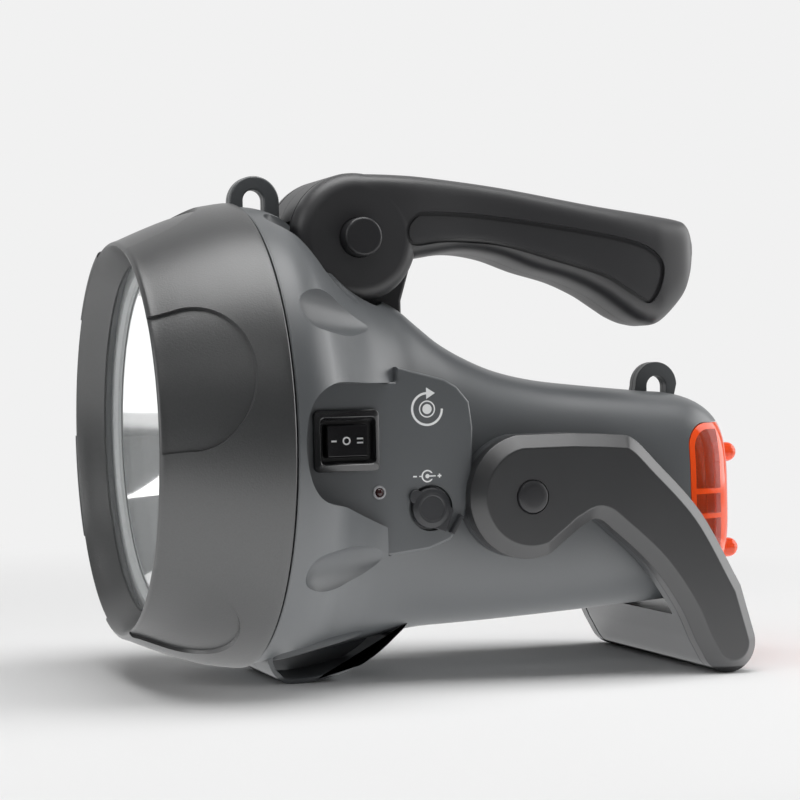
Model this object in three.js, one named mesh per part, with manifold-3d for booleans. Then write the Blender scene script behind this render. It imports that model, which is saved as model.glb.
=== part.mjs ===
// A rechargeable hand spotlight: a large reflector head on a moulded housing, a carrying handle that turns
// about a side button, a U-shaped stand that swings under the tail, and an orange tail lamp.
// Millimetres, +Z up. The lamp is drawn about its head axis: x = 0 is the seam between the bezel and the
// housing, the lens faces -X, and -Y is the side with the switch. The whole is then set on its table.
import * as THREE from "three";
import { mergeVertices } from "three/addons/utils/BufferGeometryUtils.js";
import Module from "manifold-3d";

const wasm = await Module();
wasm.setup();

// Shared by all pieces
const gap = 0.3;
const overrun = 2;
const weld = 1e-4;
const wall = 3;
const farAway = 400;

// Housing
const headRadius = 80.2;
const tailEnd = 182.4;
const tailHalfWidth = 37;
const tailTop = 12.4;
const tailBottom = 66.4;
const seam = 0.6;
const tailRoundLength = 24.4;
const tailRoundStart = tailEnd - tailRoundLength;
const tailRoundTop = 14.5;
const tailRoundBottom = 16;
const tailRoundSide = 14;
const coneBacking = 8;
const collarLength = 9;
const mouthDepth = 6.6;
const bossRadius = 3.5;
const ribThickness = 2;

// Head
const bezelDepth = 41.5;
const bezelShoulder = 24;
const bezelWall = 8.6;
const collarStep = 2;
const rimWidth = 13.4;
const seatWidth = 14.4;
const seatLap = 4.6;
const lipDepth = 9.9;
const mouthRadius = headRadius - rimWidth;
const seatRadius = headRadius - seatWidth;
const lipRadius = seatRadius - seatLap;
const lensThickness = 2.5;
const gasketThickness = 2.4;
const gasketWidth = 6.9;
const gasketLip = 1;
const reflectorWall = 2;
const reflectorLap = 8.5;
const reflectorThroat = 10;
const reflectorDepth = 48;
const reflectorFlange = 1.5;
const petalWidth = 47;
const petalLength = 30;
const petalSink = 1.3;
const emitterRadius = 5;
const boardThickness = 1.6;
const boardRadius = 15;
const heatSinkRadius = 17;
const heatSinkLength = 20;
const heatSinkCore = 8.5;

// Dents round the cone
const dentStart = 8;
const dentEnd = 41;
const dentRadius = 8.3;
const dentRise = 5.7;
const dentDrop = 1.9;

// Side panel with the switch, the charge light and the charging socket
const panelFace = 44;
const panelDepth = 18;
const panelLeft = 43.4;
const panelWidth = 31;
const panelBottom = -41.5;
const panelHeight = 64.1;
const panelChamfer = 2.2;
const pocketLeft = 4.3;
const pocketTop = 17.5;
const pocketBottom = -31.5;
const switchX = 28.2;
const switchZ = -1.9;
const switchWidth = 23.2;
const switchHeight = 20.8;
const switchRise = 2.2;
const switchCorner = 2;
const switchEdge = 1;
const switchEdgeDepth = 0.6;
const switchLap = 1.4;
const switchDepth = 9;
const trayShift = 0.5;
const trayWidth = 18.6;
const trayHeight = 14.2;
const trayDepth = 3.4;
const trayCorner = 1.2;
const wellDepth = 8.2;
const rockerWidth = 14.1;
const rockerHeight = 10.7;
const rockerFront = 46;
const rockerBack = 40.6;
const rockerHollow = 1.2;
const rockerTaper = 1;
const rockerEdge = 0.5;
const rockerTurnRoom = 0.9;
const lightX = 39.7;
const lightZ = -19.8;
const lightRadius = 1.6;
const lightRise = 0.6;
const socketX = 58.2;
const socketZ = -25.8;
const socketRadius = 4.1;
const socketBase = 4.9;
const socketDepth = 7;
const socketWall = 1.2;
const socketPin = 0.9;
const coverRadius = 7;
const coverThickness = 2.6;
const coverSink = 1.4;
const coverEdge = 0.7;
const coverRoom = 0.9;
const plugRadius = 2.6;
const plugLength = 1.6;
const tabRadius = 2.4;
const tabReach = 5.6;
const tabRise = 4;
const tabEdge = 0.4;
const anchorX = 66.9;
const anchorZ = -31.7;
const anchorLength = 7.1;
const anchorWidth = 1.6;
const boardHalfHeight = 18;

// Battery
const batteryFront = 66;
const batteryLength = 78;
const batteryHalf = 16.5;
const batteryFloor = -61;
const batteryHeight = 62;
const batteryEdge = 1.5;
const terminalWidth = 4.8;
const terminalLength = 6;
const terminalHeight = 3;
const terminalInset = 14;

// Handle
const pivotX = 42;
const pivotZ = 68;
const hubRadius = 23.5;
const hubHalfWidth = 22;
const hubFillet = 9;
const hubRoom = 1.2;
const gripLength = 136;
const gripHalfWidth = 17.5;
const gripPanelDepth = 0.8;
const bracketHalfWidth = 12;
const bracketRadius = 17;
const bracketFoot = 34;
const bracketFront = 8.6;
const bracketRear = 18.8;
const bracketStopX = 22.4;
const bracketStopZ = -10.1;
const bracketTop = 15;
const bracketEdge = 1.6;
const bracketSeat = 6;
const slotRoom = 0.6;
const axleRadius = 4;
const axleHead = 4;
const buttonRadius = 6.8;
const buttonFlange = 2;
const buttonFlangeThickness = 2.2;
const buttonRise = 6;
const buttonEdge = 1;
const buttonTravel = 3;
const capDepth = 2;
const springRadius = 6;
const springWire = 0.6;

// Stand
const standPivotX = 92.7;
const standPivotZ = -23.1;
const standBoss = 21.7;
const standOuter = 52;
const standInner = 37.7;
const standSplit = 42.8;
const standChamfer = 4.7;
const standChamferDepth = 4;
const standReach = 76.3;
const standDrop = 55.4;
const standTip = 10.8;
const standPad = 19.7;
const barDrop = 45.3;
const standAxle = 4;
const standAxleEnd = 1.4;
const standCap = 5.7;
const standCapRise = 1.2;

// Strap loops, on the middle plane: the eye's half width, shift and rise over the skin, and the ring round it
const frontLoop = { eyeHalf: 3.75, eyeShift: -0.3, eyeRise: 5.8, leg: 5.4, crown: 4.9, lean: 0 };
const rearLoop = { eyeHalf: 3.9, eyeShift: 0.2, eyeRise: 4.6, leg: 5.8, crown: 5.3, lean: 2 };
const frontLoopX = 10.05;
const rearLoopSetback = 18.5;
const loopHalfWidth = 3;
const loopEdge = 1.2;
const loopRoot = 6;

// Skid foot
const footHalfWidth = 22;
const footThickness = 1.9;
const footFront = 5.5;
const footLength = 51.5;
const footDepth = 85.8;
const footWeb = 3;
const footSink = 13.3;
const footRoot = headRadius - footSink;

// How the lamp rests: on the front edge of its skid and on the tip of its stand, with the skid's flat level.
const restShare = 0.16;
const restEndShare = 0.32;
const restX = footFront + restShare * footLength;
const tipX = standPivotX + standReach;
const tipDepth = standTip + standDrop - standPivotZ;
const restSlope = (tipDepth - footDepth) / (tipX - restX);

// Tail lamp
const lensSetback = 20.8;
const lensLeft = tailEnd - lensSetback;
const lensTop = -0.3;
const lensBottom = -58.8;
const lensCorner = 9;
const lensBand = 4.5;
const lensRib = 1.4;
const trayInset = 5.6;
const trayWall = 2.2;
const traySpare = 2;
const ledRadius = 2.5;
const ledSpread = 10.5;
const tailBoardHalf = 12;
const tailLampZ = -28.6;
const bufferRadius = 3.6;
const bufferReach = 7.2;
const bufferSide = 17;
const bufferSpread = 17.8;

const degrees = Math.PI / 180;

// Solids

// A closed geometry as a solid that can be joined and cut.
function solidFrom(geometry) {
  const loose = geometry.index ? geometry.toNonIndexed() : geometry;
  const bare = new THREE.BufferGeometry().setAttribute("position", loose.getAttribute("position"));
  const merged = mergeVertices(bare, weld);
  const corners = [...merged.index.array];
  const faces = [];
  for (let i = 0; i < corners.length; i += 3) {
    const [a, b, c] = corners.slice(i, i + 3);
    if (a !== b && b !== c && c !== a) faces.push(a, b, c);
  }
  const build = (order) =>
    new wasm.Manifold(
      new wasm.Mesh({
        numProp: 3,
        vertProperties: new Float32Array(merged.getAttribute("position").array),
        triVerts: new Uint32Array(order),
      }),
    );
  const made = build(faces);
  return made.volume() < 0 ? build(faces.reverse()) : made;
}

// A solid as a geometry with flat faces.
function geometryFrom(solid) {
  const mesh = solid.getMesh();
  const places = new Float32Array(mesh.numVert * 3);
  for (let i = 0; i < mesh.numVert; i++) {
    places.set(mesh.vertProperties.subarray(i * mesh.numProp, i * mesh.numProp + 3), i * 3);
  }
  const geometry = new THREE.BufferGeometry();
  geometry.setAttribute("position", new THREE.BufferAttribute(places, 3));
  geometry.setIndex(new THREE.BufferAttribute(mesh.triVerts, 1));
  geometry.computeVertexNormals();
  return geometry;
}

const join = (first, ...others) => others.reduce((sum, next) => sum.add(next), first);
const cut = (first, ...others) => others.reduce((rest, next) => rest.subtract(next), first);

function box(x0, x1, y0, y1, z0, z1) {
  const geometry = new THREE.BoxGeometry(x1 - x0, y1 - y0, z1 - z0);
  return solidFrom(geometry.translate((x0 + x1) / 2, (y0 + y1) / 2, (z0 + z1) / 2));
}

// A solid parted on the middle plane into its -Y half and its +Y half.
function halves(solid) {
  const beyond = (y0, y1) => box(-farAway, farAway, y0, y1, -farAway, farAway);
  return {
    left: cut(solid, beyond(-gap / 2, farAway)),
    right: cut(solid, beyond(-farAway, gap / 2)),
  };
}

// The lower and upper end of a range on one side of the middle plane.
function span(side, near, far) {
  return side < 0 ? [-far, -near] : [near, far];
}

// A shape drawn in x and z, pulled from y0 to y1, with its outer edges bevelled by edge.
function slab(shape, y0, y1, edge = 0, edgeDepth = edge) {
  const geometry = new THREE.ExtrudeGeometry(shape, {
    depth: y1 - y0 - 2 * edgeDepth,
    bevelEnabled: edge > 0,
    bevelSize: edge,
    bevelThickness: edgeDepth,
    bevelOffset: -edge,
    bevelSegments: 1,
    curveSegments: 1,
  });
  return solidFrom(geometry.rotateX(Math.PI / 2).translate(0, y1 - edgeDepth, 0));
}

// A profile of [x, radius] points turned about the x axis.
function turnedX(profile, sides) {
  const points = profile.map(([x, r]) => new THREE.Vector2(r, x));
  return solidFrom(new THREE.LatheGeometry(points, sides).rotateZ(-Math.PI / 2));
}

// A profile of [radius, y] points turned about the y axis through (x, z).
function turnedY(profile, x, z, sides) {
  const points = profile.map(([r, y]) => new THREE.Vector2(r, y));
  return solidFrom(new THREE.LatheGeometry(points, sides).translate(x, 0, z));
}

const discY = (radius, [y0, y1], x, z, sides) =>
  turnedY([[0, y0], [radius, y0], [radius, y1], [0, y1]], x, z, sides);

// Rings of equal point counts skinned into one closed body.
function loft(rings) {
  const places = [];
  const faces = [];
  const count = rings[0].length;
  rings.forEach((ring) => ring.forEach((p) => places.push(p.x, p.y, p.z)));
  for (let r = 0; r + 1 < rings.length; r++) {
    for (let i = 0; i < count; i++) {
      const a = r * count + i;
      const b = r * count + ((i + 1) % count);
      faces.push(a, b, b + count, a, b + count, a + count);
    }
  }
  const last = (rings.length - 1) * count;
  for (let i = 1; i + 1 < count; i++) {
    faces.push(0, i + 1, i);
    faces.push(last, last + i, last + i + 1);
  }
  const geometry = new THREE.BufferGeometry();
  geometry.setAttribute("position", new THREE.Float32BufferAttribute(places, 3));
  geometry.setIndex(faces);
  return solidFrom(geometry);
}

// A cross-section at x: an ellipse that grows squarer with power, from its edges.
function section({ x, half, top, bottom, power }, count) {
  const middle = (top + bottom) / 2;
  const height = (top - bottom) / 2;
  return Array.from({ length: count }, (_, i) => {
    const turn = (i / count) * 2 * Math.PI;
    const c = Math.cos(turn);
    const s = Math.sin(turn);
    const y = half * Math.sign(c) * Math.abs(c) ** (2 / power);
    const z = middle + height * Math.sign(s) * Math.abs(s) ** (2 / power);
    return new THREE.Vector3(x, y, z);
  });
}

// Outlines, as lists of [x, z] points
const shapeOf = (points) => new THREE.Shape(points.map(([x, z]) => new THREE.Vector2(x, z)));

function arc(x, z, radius, from, to, steps) {
  return Array.from({ length: steps + 1 }, (_, i) => {
    const turn = (from + ((to - from) * i) / steps) * degrees;
    return [x + radius * Math.cos(turn), z + radius * Math.sin(turn)];
  });
}

function curve(points, steps) {
  const spline = new THREE.SplineCurve(points.map(([x, z]) => new THREE.Vector2(x, z)));
  return spline.getPoints(steps).map((p) => [p.x, p.y]);
}

const circle = (x, z, radius, sides) => shapeOf(arc(x, z, radius, 0, 360, sides).slice(1));

function roundedRect(x0, x1, z0, z1, corner, steps = 2) {
  return shapeOf([
    ...arc(x1 - corner, z0 + corner, corner, -90, 0, steps),
    ...arc(x1 - corner, z1 - corner, corner, 0, 90, steps),
    ...arc(x0 + corner, z1 - corner, corner, 90, 180, steps),
    ...arc(x0 + corner, z0 + corner, corner, 180, 270, steps),
  ]);
}

// A rounded rectangle about its middle.
const plate = (x, z, width, height, corner) =>
  roundedRect(x - width / 2, x + width / 2, z - height / 2, z + height / 2, corner);

// Housing form

// Each row gives a station along the housing as shares: its place along the straight part, how far the top,
// the underside and the sides flare from the tail towards the head, and the squareness of the section.
const stationShares = [
  [0, 1, 1, 1, 2],
  [0.047, 0.988, 0.964, 0.979, 2],
  [0.085, 0.959, 0.928, 0.926, 2],
  [0.11, 0.917, 0.884, 0.856, 2],
  [0.135, 0.861, 0.84, 0.759, 2],
  [0.161, 0.791, 0.79, 0.639, 2.02],
  [0.193, 0.708, 0.725, 0.5, 2.1],
  [0.231, 0.631, 0.645, 0.361, 2.2],
  [0.269, 0.574, 0.565, 0.25, 2.35],
  [0.314, 0.525, 0.464, 0.148, 2.55],
  [0.358, 0.475, 0.362, 0.079, 2.8],
  [0.402, 0.386, 0.29, 0.037, 3.05],
  [0.454, 0.286, 0.261, 0.014, 3.25],
  [0.517, 0.2, 0.232, 0.005, 3.4],
  [0.594, 0.124, 0.196, 0, 3.5],
  [0.694, 0.068, 0.145, 0, 3.5],
  [0.822, 0.03, 0.072, -0.005, 3.5],
  [1, -0.013, -0.043, -0.018, 3.5],
];
const outerSides = 32;
const innerSides = 20;

const stations = stationShares.map(([place, top, bottom, side, power]) => ({
  x: seam + place * (tailRoundStart - seam),
  top: tailTop + top * (headRadius - tailTop),
  bottom: -tailBottom - bottom * (headRadius - tailBottom),
  half: tailHalfWidth + side * (headRadius - tailHalfWidth),
  power,
}));

// The housing's section at x, drawn in by inset on every side.
function stationAt(x, inset = 0) {
  const next = Math.max(1, stations.findIndex((r) => r.x >= x));
  const [a, b] = [stations[next - 1], stations[next]];
  const at = (key) => a[key] + ((b[key] - a[key]) * (x - a.x)) / (b.x - a.x);
  const [top, bottom, half] = [at("top") - inset, at("bottom") + inset, at("half") - inset];
  return { x, top, bottom, half, power: at("power") };
}

// The rounded end of the tail, from the end of its straight part to its rear face.
function tailRound(inset, turns) {
  const end = stationAt(tailRoundStart, inset);
  return turns.map((turn) => {
    const inward = 1 - Math.cos(turn * degrees);
    return {
      x: tailRoundStart + (tailEnd - tailRoundStart - inset) * Math.sin(turn * degrees),
      top: end.top - tailRoundTop * inward,
      bottom: end.bottom + tailRoundBottom * inward,
      half: end.half - tailRoundSide * inward,
      power: end.power,
    };
  });
}

function housingForm() {
  const rows = [...stations, ...tailRound(0, [25, 45, 67, 90])];
  return loft(rows.map((row) => section(row, outerSides)));
}

// The tail by itself, drawn in by inset.
function tailRows(inset) {
  return [stationAt(tailRoundStart - tailRoundSide, inset), ...tailRound(inset, [0, 30, 60, 90])];
}
const tailForm = (inset) => loft(tailRows(inset).map((row) => section(row, innerSides)));

// The room inside the housing. Each row is a place along the tail's end and a share of the extra backing that
// the wall has behind the dents.
const roomShares = [
  [0.004, 0.4],
  [0.1, 1],
  [0.17, 1],
  [0.25, 0.4],
  [0.34, 0],
  [0.5, 0],
];

function roomForm(inset) {
  const rows = roomShares.map(([place, extra]) => stationAt(place * tailEnd, inset + extra * coneBacking));
  return loft([...rows, ...tailRows(inset)].map((row) => section(row, innerSides)));
}

// How far the housing reaches sideways at x and z.
function sideAt(x, z) {
  const { top, bottom, half, power } = stationAt(x);
  const height = (top - bottom) / 2;
  const rise = Math.min(1, Math.abs(z - (top + bottom) / 2) / height);
  return half * (1 - rise ** power) ** (1 / power);
}

// Bezel and what it holds

const lipX = -bezelDepth + lipDepth;
const petalCount = 5;
const petalTurn = 17;
const bezelSides = 45;
const ringSides = 32;

// Outer line of the bezel as shares of its depth and of the head radius.
const bezelLineShares = [
  [-1, 0.848],
  [-0.978, 0.861],
  [-0.916, 0.873],
  [-0.737, 0.913],
  [-0.53, 0.955],
  [-0.313, 0.99],
  [-0.096, 1.01],
  [0, 1.013],
];

const bezelLine = (sink) => bezelLineShares.map(([x, r]) => [x * bezelDepth, r * headRadius - sink]);

// One petal: a D with its straight side at the rim, drawn in x and across.
function petalShape() {
  const half = petalWidth / 2;
  const third = petalLength / 3;
  const bow = arc(0, 0, 1, -90, 90, 9).map(([x, z]) => [third * (1 + 2 * x) - bezelDepth, half * z]);
  return shapeOf([[-bezelDepth - overrun, -half], ...bow, [-bezelDepth - overrun, half]]);
}

// What the petals cut away: the room between the bezel's outer line and a line sunk below it.
function petalCutters() {
  const ahead = -bezelDepth - 2 * overrun;
  const sunk = bezelLine(petalSink);
  const core = turnedX([[ahead, 0], [ahead, sunk[0][1]], ...sunk.slice(1), [0, 0]], bezelSides);
  return Array.from({ length: petalCount }, (_, i) => {
    const depth = headRadius + overrun;
    const pull = new THREE.ExtrudeGeometry(petalShape(), { depth, bevelEnabled: false });
    const turn = 90 + petalTurn + (i * 360) / petalCount;
    return solidFrom(pull.rotateX(-turn * degrees + Math.PI)).subtract(core);
  });
}

function bezelRing() {
  const bore = headRadius - wall + gap;
  const inner = [
    [0, bore],
    [-collarLength - gap, bore],
    [-collarLength - gap, bore - collarStep],
    [-bezelShoulder, headRadius - bezelWall],
    [-bezelShoulder, seatRadius],
    [lipX, seatRadius],
    [lipX, lipRadius],
    [-bezelDepth, mouthRadius],
  ];
  const outer = bezelLine(0);
  return cut(turnedX([...outer, ...inner, outer[0]], bezelSides), ...petalCutters());
}

const lensBack = lipX + gap + lensThickness;
const gasketBack = lensBack + gap + gasketThickness;
const rimX = gasketBack + gap;
const lensRadius = seatRadius - gap;
const gasketRadius = lensRadius - gasketWidth;
const reflectorRim = lensRadius - reflectorLap;

function frontLens() {
  const r = lensRadius;
  return turnedX([[lipX + gap, 0], [lipX + gap, r], [lensBack, r], [lensBack, 0]], ringSides);
}

function lensGasket() {
  const x = lensBack + gap;
  const start = [x, gasketRadius + gasketLip];
  const outside = [[x, lensRadius], [gasketBack, lensRadius]];
  const profile = [start, ...outside, [gasketBack, gasketRadius], [x + gasketLip, gasketRadius]];
  return turnedX([...profile, start], ringSides);
}

// A parabola through the rim and the throat, as [x, radius] points moved outward by grow.
function bowl(grow, steps) {
  const rise = reflectorRim ** 2 - reflectorThroat ** 2;
  return Array.from({ length: steps + 1 }, (_, i) => {
    const r = reflectorRim + ((reflectorThroat - reflectorRim) * i) / steps;
    return [rimX + (reflectorDepth * (reflectorRim ** 2 - r ** 2)) / rise, r + grow];
  });
}

function reflector() {
  const inside = bowl(0, 6);
  const outside = bowl(reflectorWall, 3).slice(1).reverse();
  const back = rimX + reflectorFlange;
  const flange = [[back, reflectorRim + reflectorWall], [back, lensRadius], [rimX, lensRadius]];
  return turnedX([...inside, ...outside, ...flange, inside[0]], ringSides);
}

const boardX = rimX + reflectorDepth + gap;

function lampEmitter() {
  const base = boardX - gap;
  const dome = [0, 22, 45, 67, 90].map((t) => [
    base - emitterRadius * Math.cos(t * degrees),
    emitterRadius * Math.sin(t * degrees),
  ]);
  return turnedX([...dome, [base, 0]], 12);
}

function lampBoard() {
  const back = boardX + boardThickness;
  return turnedX([[boardX, 0], [boardX, boardRadius], [back, boardRadius], [back, 0]], 20);
}

// A turned core with three round fins.
function heatSink() {
  const start = boardX + boardThickness + gap;
  const pitch = heatSinkLength / 3;
  const fins = [0, 1, 2].flatMap((i) => {
    const x = start + i * pitch;
    const fin = [[x, heatSinkRadius], [x + pitch / 2, heatSinkRadius], [x + pitch / 2, heatSinkCore]];
    return i === 0 ? fin : [[x, heatSinkCore], ...fin];
  });
  const end = start + heatSinkLength;
  return turnedX([[start, 0], ...fins, [end, heatSinkCore], [end, 0]], 16);
}

// Dents, panel, foot, loops and recesses of the housing

// A dent's half width along its length, as shares of its length and of its radius.
const dentShares = [
  [-0.07, 0],
  [-0.05, 0.5],
  [0, 0.8],
  [0.07, 0.93],
  [0.2, 1],
  [0.45, 0.97],
  [0.75, 0.9],
  [1, 0.79],
  [1.08, 0],
];

const dentFadeShare = 0.845;

// A spindle that lies along the cone from the head towards the tail, round at the head end.
function dentCutter(turn, side) {
  const head = stationAt(dentStart).half;
  const [across, rise] = [side * head * Math.cos(turn * degrees), head * Math.sin(turn * degrees)];
  const from = new THREE.Vector3(dentStart, across, rise);
  const level = Math.min(from.z * dentFadeShare - dentDrop, stationAt(dentEnd).top - dentRadius);
  const to = new THREE.Vector3(dentEnd, side * sideAt(dentEnd, level), level);
  const along = to.clone().sub(from);
  const length = along.length();
  along.normalize();
  const out = new THREE.Vector3(0, from.y, from.z).normalize();
  out.addScaledVector(along, -out.dot(along)).normalize();
  const points = dentShares.map(([t, r]) => new THREE.Vector2(r * dentRadius, t * length));
  const geometry = new THREE.LatheGeometry(points, 10);
  geometry.applyQuaternion(new THREE.Quaternion().setFromUnitVectors(new THREE.Vector3(0, 1, 0), along));
  from.addScaledVector(out, dentRise);
  return solidFrom(geometry.translate(from.x, from.y, from.z));
}

const dentCutters = () => [
  ...[71, 31, -33, -73].map((turn) => dentCutter(turn, -1)),
  ...[71, 31, -1, -33, -73].map((turn) => dentCutter(turn, 1)),
];

// Outline of the raised side panel, as shares of its width and height, from its lower left corner.
const panelShares = [
  [0, 0],
  [0.455, 0.025],
  [0.713, 0.07],
  [0.884, 0.2],
  [0.974, 0.385],
  [1, 0.67],
  [0.96, 0.806],
  [0.82, 0.89],
  [0.671, 0.93],
  [0.116, 1],
  [-0.08, 1.03],
  [-0.1, 0.8],
];

const panelShape = (grow = 0) =>
  shapeOf(
    panelShares.map(([x, z]) => [
      panelLeft - grow + x * (panelWidth + 2 * grow),
      panelBottom - grow + z * (panelHeight + 2 * grow),
    ]),
  );

// Outline of the pocket's round left end, as shares of its width and of its height either side of the switch.
const pocketShares = [
  [0.42, 1],
  [0.28, 0.97],
  [0.15, 0.84],
  [0.06, 0.62],
  [0.015, 0.34],
  [0, 0],
  [0.02, -0.24],
  [0.08, -0.46],
  [0.19, -0.6],
  [0.4, -0.68],
];

// The pocket that lets the switch sit in the flare of the head, open to the panel at its right.
function pocketShape(grow = 0) {
  const left = pocketLeft - grow;
  const right = panelLeft + panelWidth / 4;
  const place = (x) => left + x * (panelLeft - pocketLeft);
  const [rise, drop] = [pocketTop - switchZ + grow, switchZ - pocketBottom + grow];
  const height = (z) => switchZ + z * (z < 0 ? drop : rise);
  const bow = pocketShares.map(([x, z]) => [place(x), height(z)]);
  return shapeOf([
    [right, height(1)],
    ...bow,
    [panelLeft - overrun, pocketBottom - grow],
    [panelLeft - overrun / 2, panelBottom],
    [right, panelBottom],
  ]);
}

const hubPocket = (grow) => {
  const half = hubHalfWidth + hubRoom + grow;
  return discY(hubRadius + hubRoom + grow, [-half, half], pivotX, pivotZ, 32);
};

// The skid's outline as shares of its length and of its drop from its root inside the skin.
const skidDrop = footDepth - footRoot;
const skidShares = [
  [0, 0],
  [0, 0.59],
  [0.035, 0.8],
  [0.09, 0.94],
  [restShare, 1],
  [restEndShare, 1 + (restSlope * (restEndShare - restShare) * footLength) / skidDrop],
  [0.45, 0.92],
  [0.575, 0.82],
  [0.7, 0.64],
  [0.815, 0.43],
  [1, 0],
];

// A skid that bows down from the flare, open at both sides, with a web on the middle plane.
function skidFoot() {
  const outer = skidShares.map(([x, z]) => [footFront + x * footLength, -footRoot - z * skidDrop]);
  const inner = outer.map(([x, z], i) => [x + (i < 4 ? footThickness : 0), z + (i > 2 ? footThickness : 0)]);
  const strip = slab(shapeOf([...outer, ...inner.reverse()]), -footHalfWidth, footHalfWidth);
  return strip.add(slab(shapeOf(outer), -footWeb / 2, footWeb / 2));
}

// A strap loop at x on a skin of the given height: a leg on each side of an eye, moulded on the middle plane.
function strapLoop(x, skin, { eyeHalf, eyeShift, eyeRise, leg, crown, lean }) {
  const eyeTop = skin + eyeRise;
  const root = stationAt(Math.min(x, tailRoundStart)).top;
  const outline = (middle, r, top, foot) => shapeOf([
    [middle + r - lean, foot],
    ...arc(middle, top - r, r, 0, 180, 10),
    [middle - r - lean, foot],
  ]);
  const half = loopHalfWidth;
  const ring = slab(outline(x, eyeHalf + leg, eyeTop + crown, root - loopRoot), -half, half, loopEdge);
  const beyond = half + overrun;
  return cut(ring, slab(outline(x + eyeShift, eyeHalf, eyeTop, root - wall / 2), -beyond, beyond));
}

function lensPrism(grow) {
  const beyond = tailHalfWidth + overrun;
  const end = tailEnd + bufferReach;
  const outline = roundedRect(lensLeft - grow, end, lensBottom - grow, lensTop + grow, lensCorner, 4);
  return slab(outline, -beyond, beyond);
}

const panelBack = -panelFace + wall;

// The screw bosses, as shares of the tail's end and of the way down from the top to the underside.
const bossPlaceShares = [
  [0.34, 0.22],
  [0.34, 0.8],
  [0.83, 0.22],
  [0.83, 0.8],
];

// The raised panel, which runs back into the side of the housing.
function sidePanel() {
  return slab(panelShape(), -panelFace, -panelFace + panelDepth, panelChamfer);
}

// Round pads that keep the stand's arms clear of the sides.
const standPads = () =>
  [-1, 1].map((side) => {
    const thickness = span(side, standInner - wall, standInner - gap);
    return discY(standPad, thickness, standPivotX, standPivotZ, 24);
  });

// The ring in front of the housing that the bezel slides over.
function collar() {
  const [inside, outside] = [headRadius - 2 * wall, headRadius - wall];
  const [front, back] = [-collarLength, mouthDepth / 2];
  const profile = [[front, outside], [back, outside], [back, inside], [front, inside], [front, outside]];
  return turnedX(profile.reverse(), outerSides);
}

// The open mouth of the housing, in front of its room.
function mouthRoom() {
  const inside = headRadius - 2 * wall;
  const [front, back] = [-collarLength, mouthDepth];
  return turnedX([[front, 0], [front, inside], [back, inside], [back, 0]], ringSides);
}

// The two shells share one form, which is parted on the middle plane.
function housingShells() {
  const outward = -headRadius - overrun;
  const pocket = slab(pocketShape(), outward, -panelFace);
  const liner = slab(pocketShape(wall), outward, panelBack);
  const standRoom = discY(standBoss + hubRoom, [-standOuter, -standInner], standPivotX, standPivotZ, 24);
  const panel = cut(sidePanel(), standRoom);
  const form = cut(housingForm(), pocket, ...dentCutters());
  const front = strapLoop(frontLoopX, headRadius, frontLoop);
  const loops = [front, strapLoop(tailEnd - rearLoopSetback, tailTop, rearLoop)];
  const skin = cut(join(form, panel, ...standPads(), skidFoot(), ...loops), hubPocket(0), lensPrism(gap));
  const panelRoom = slab(panelShape(-wall), panelBack, -panelFace + panelDepth);
  const room = cut(join(roomForm(wall), panelRoom, mouthRoom()), liner, hubPocket(wall));
  const walls = cut(skin.add(collar()), room);
  return halves(cut(walls.add(fittings()), ...openings()));
}

// Where the two ribs stand along the battery.
const ribPlaceShares = [0.12, 0.95];

// Ribs that hold the battery, screw bosses and the bearings of the stand, rooted in the skin.
function fittings() {
  const half = batteryHalf + gap;
  const [front, rear] = [batteryFront - gap, batteryFront + batteryLength + gap];
  const [floor, top] = [batteryFloor - gap, batteryFloor + batteryHeight + terminalHeight + gap];
  const cell = box(front, rear, -half, half, floor, top);
  const ribs = ribPlaceShares.map((share) => {
    const x = batteryFront + share * batteryLength;
    return box(x, x + ribThickness, -tailHalfWidth, tailHalfWidth, -tailBottom - overrun, headRadius);
  });
  const ribbed = cut(join(...ribs).intersect(roomForm(wall / 2)), cell);
  const bosses = bossPlaceShares.map(([place, depth]) => {
    const x = place * tailEnd;
    const ends = stationAt(x);
    const z = ends.top + depth * (ends.bottom - ends.top);
    const reach = sideAt(x, z) - wall / 2;
    return discY(bossRadius, [-reach, reach], x, z, 8);
  });
  const bearings = [-1, 1].map((side) => {
    const length = span(side, batteryHalf + wall, standInner - wall);
    return discY(standAxle + wall, length, standPivotX, standPivotZ, 16);
  });
  return join(ribbed, ...bosses, ...bearings);
}

// Every hole that goes through the shells.
function openings() {
  const through = [-panelFace - overrun, panelBack + overrun];
  const can = plate(switchX, switchZ, switchWidth - switchLap, switchHeight - switchLap, switchEdge);
  const neck = bracketHalfWidth + gap;
  const [neckFront, neckRear] = [pivotX - bracketFront - hubRoom, pivotX + bracketRear + hubRoom];
  return [
    slab(can, ...through),
    discY(lightRadius + gap, through, lightX, lightZ, 16),
    discY(socketRadius + gap, through, socketX, socketZ, 20),
    discY(coverRadius + coverRoom, [-panelFace - overrun, -panelFace + coverSink], socketX, socketZ, 24),
    box(neckFront, neckRear, -neck, neck, bracketFoot - gap, pivotZ),
    ...[-1, 1].map((side) => {
      const length = span(side, batteryHalf + wall + gap, standOuter);
      return discY(standAxle + gap, length, standPivotX, standPivotZ, 16);
    }),
  ];
}

// Parts on the side panel

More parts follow.
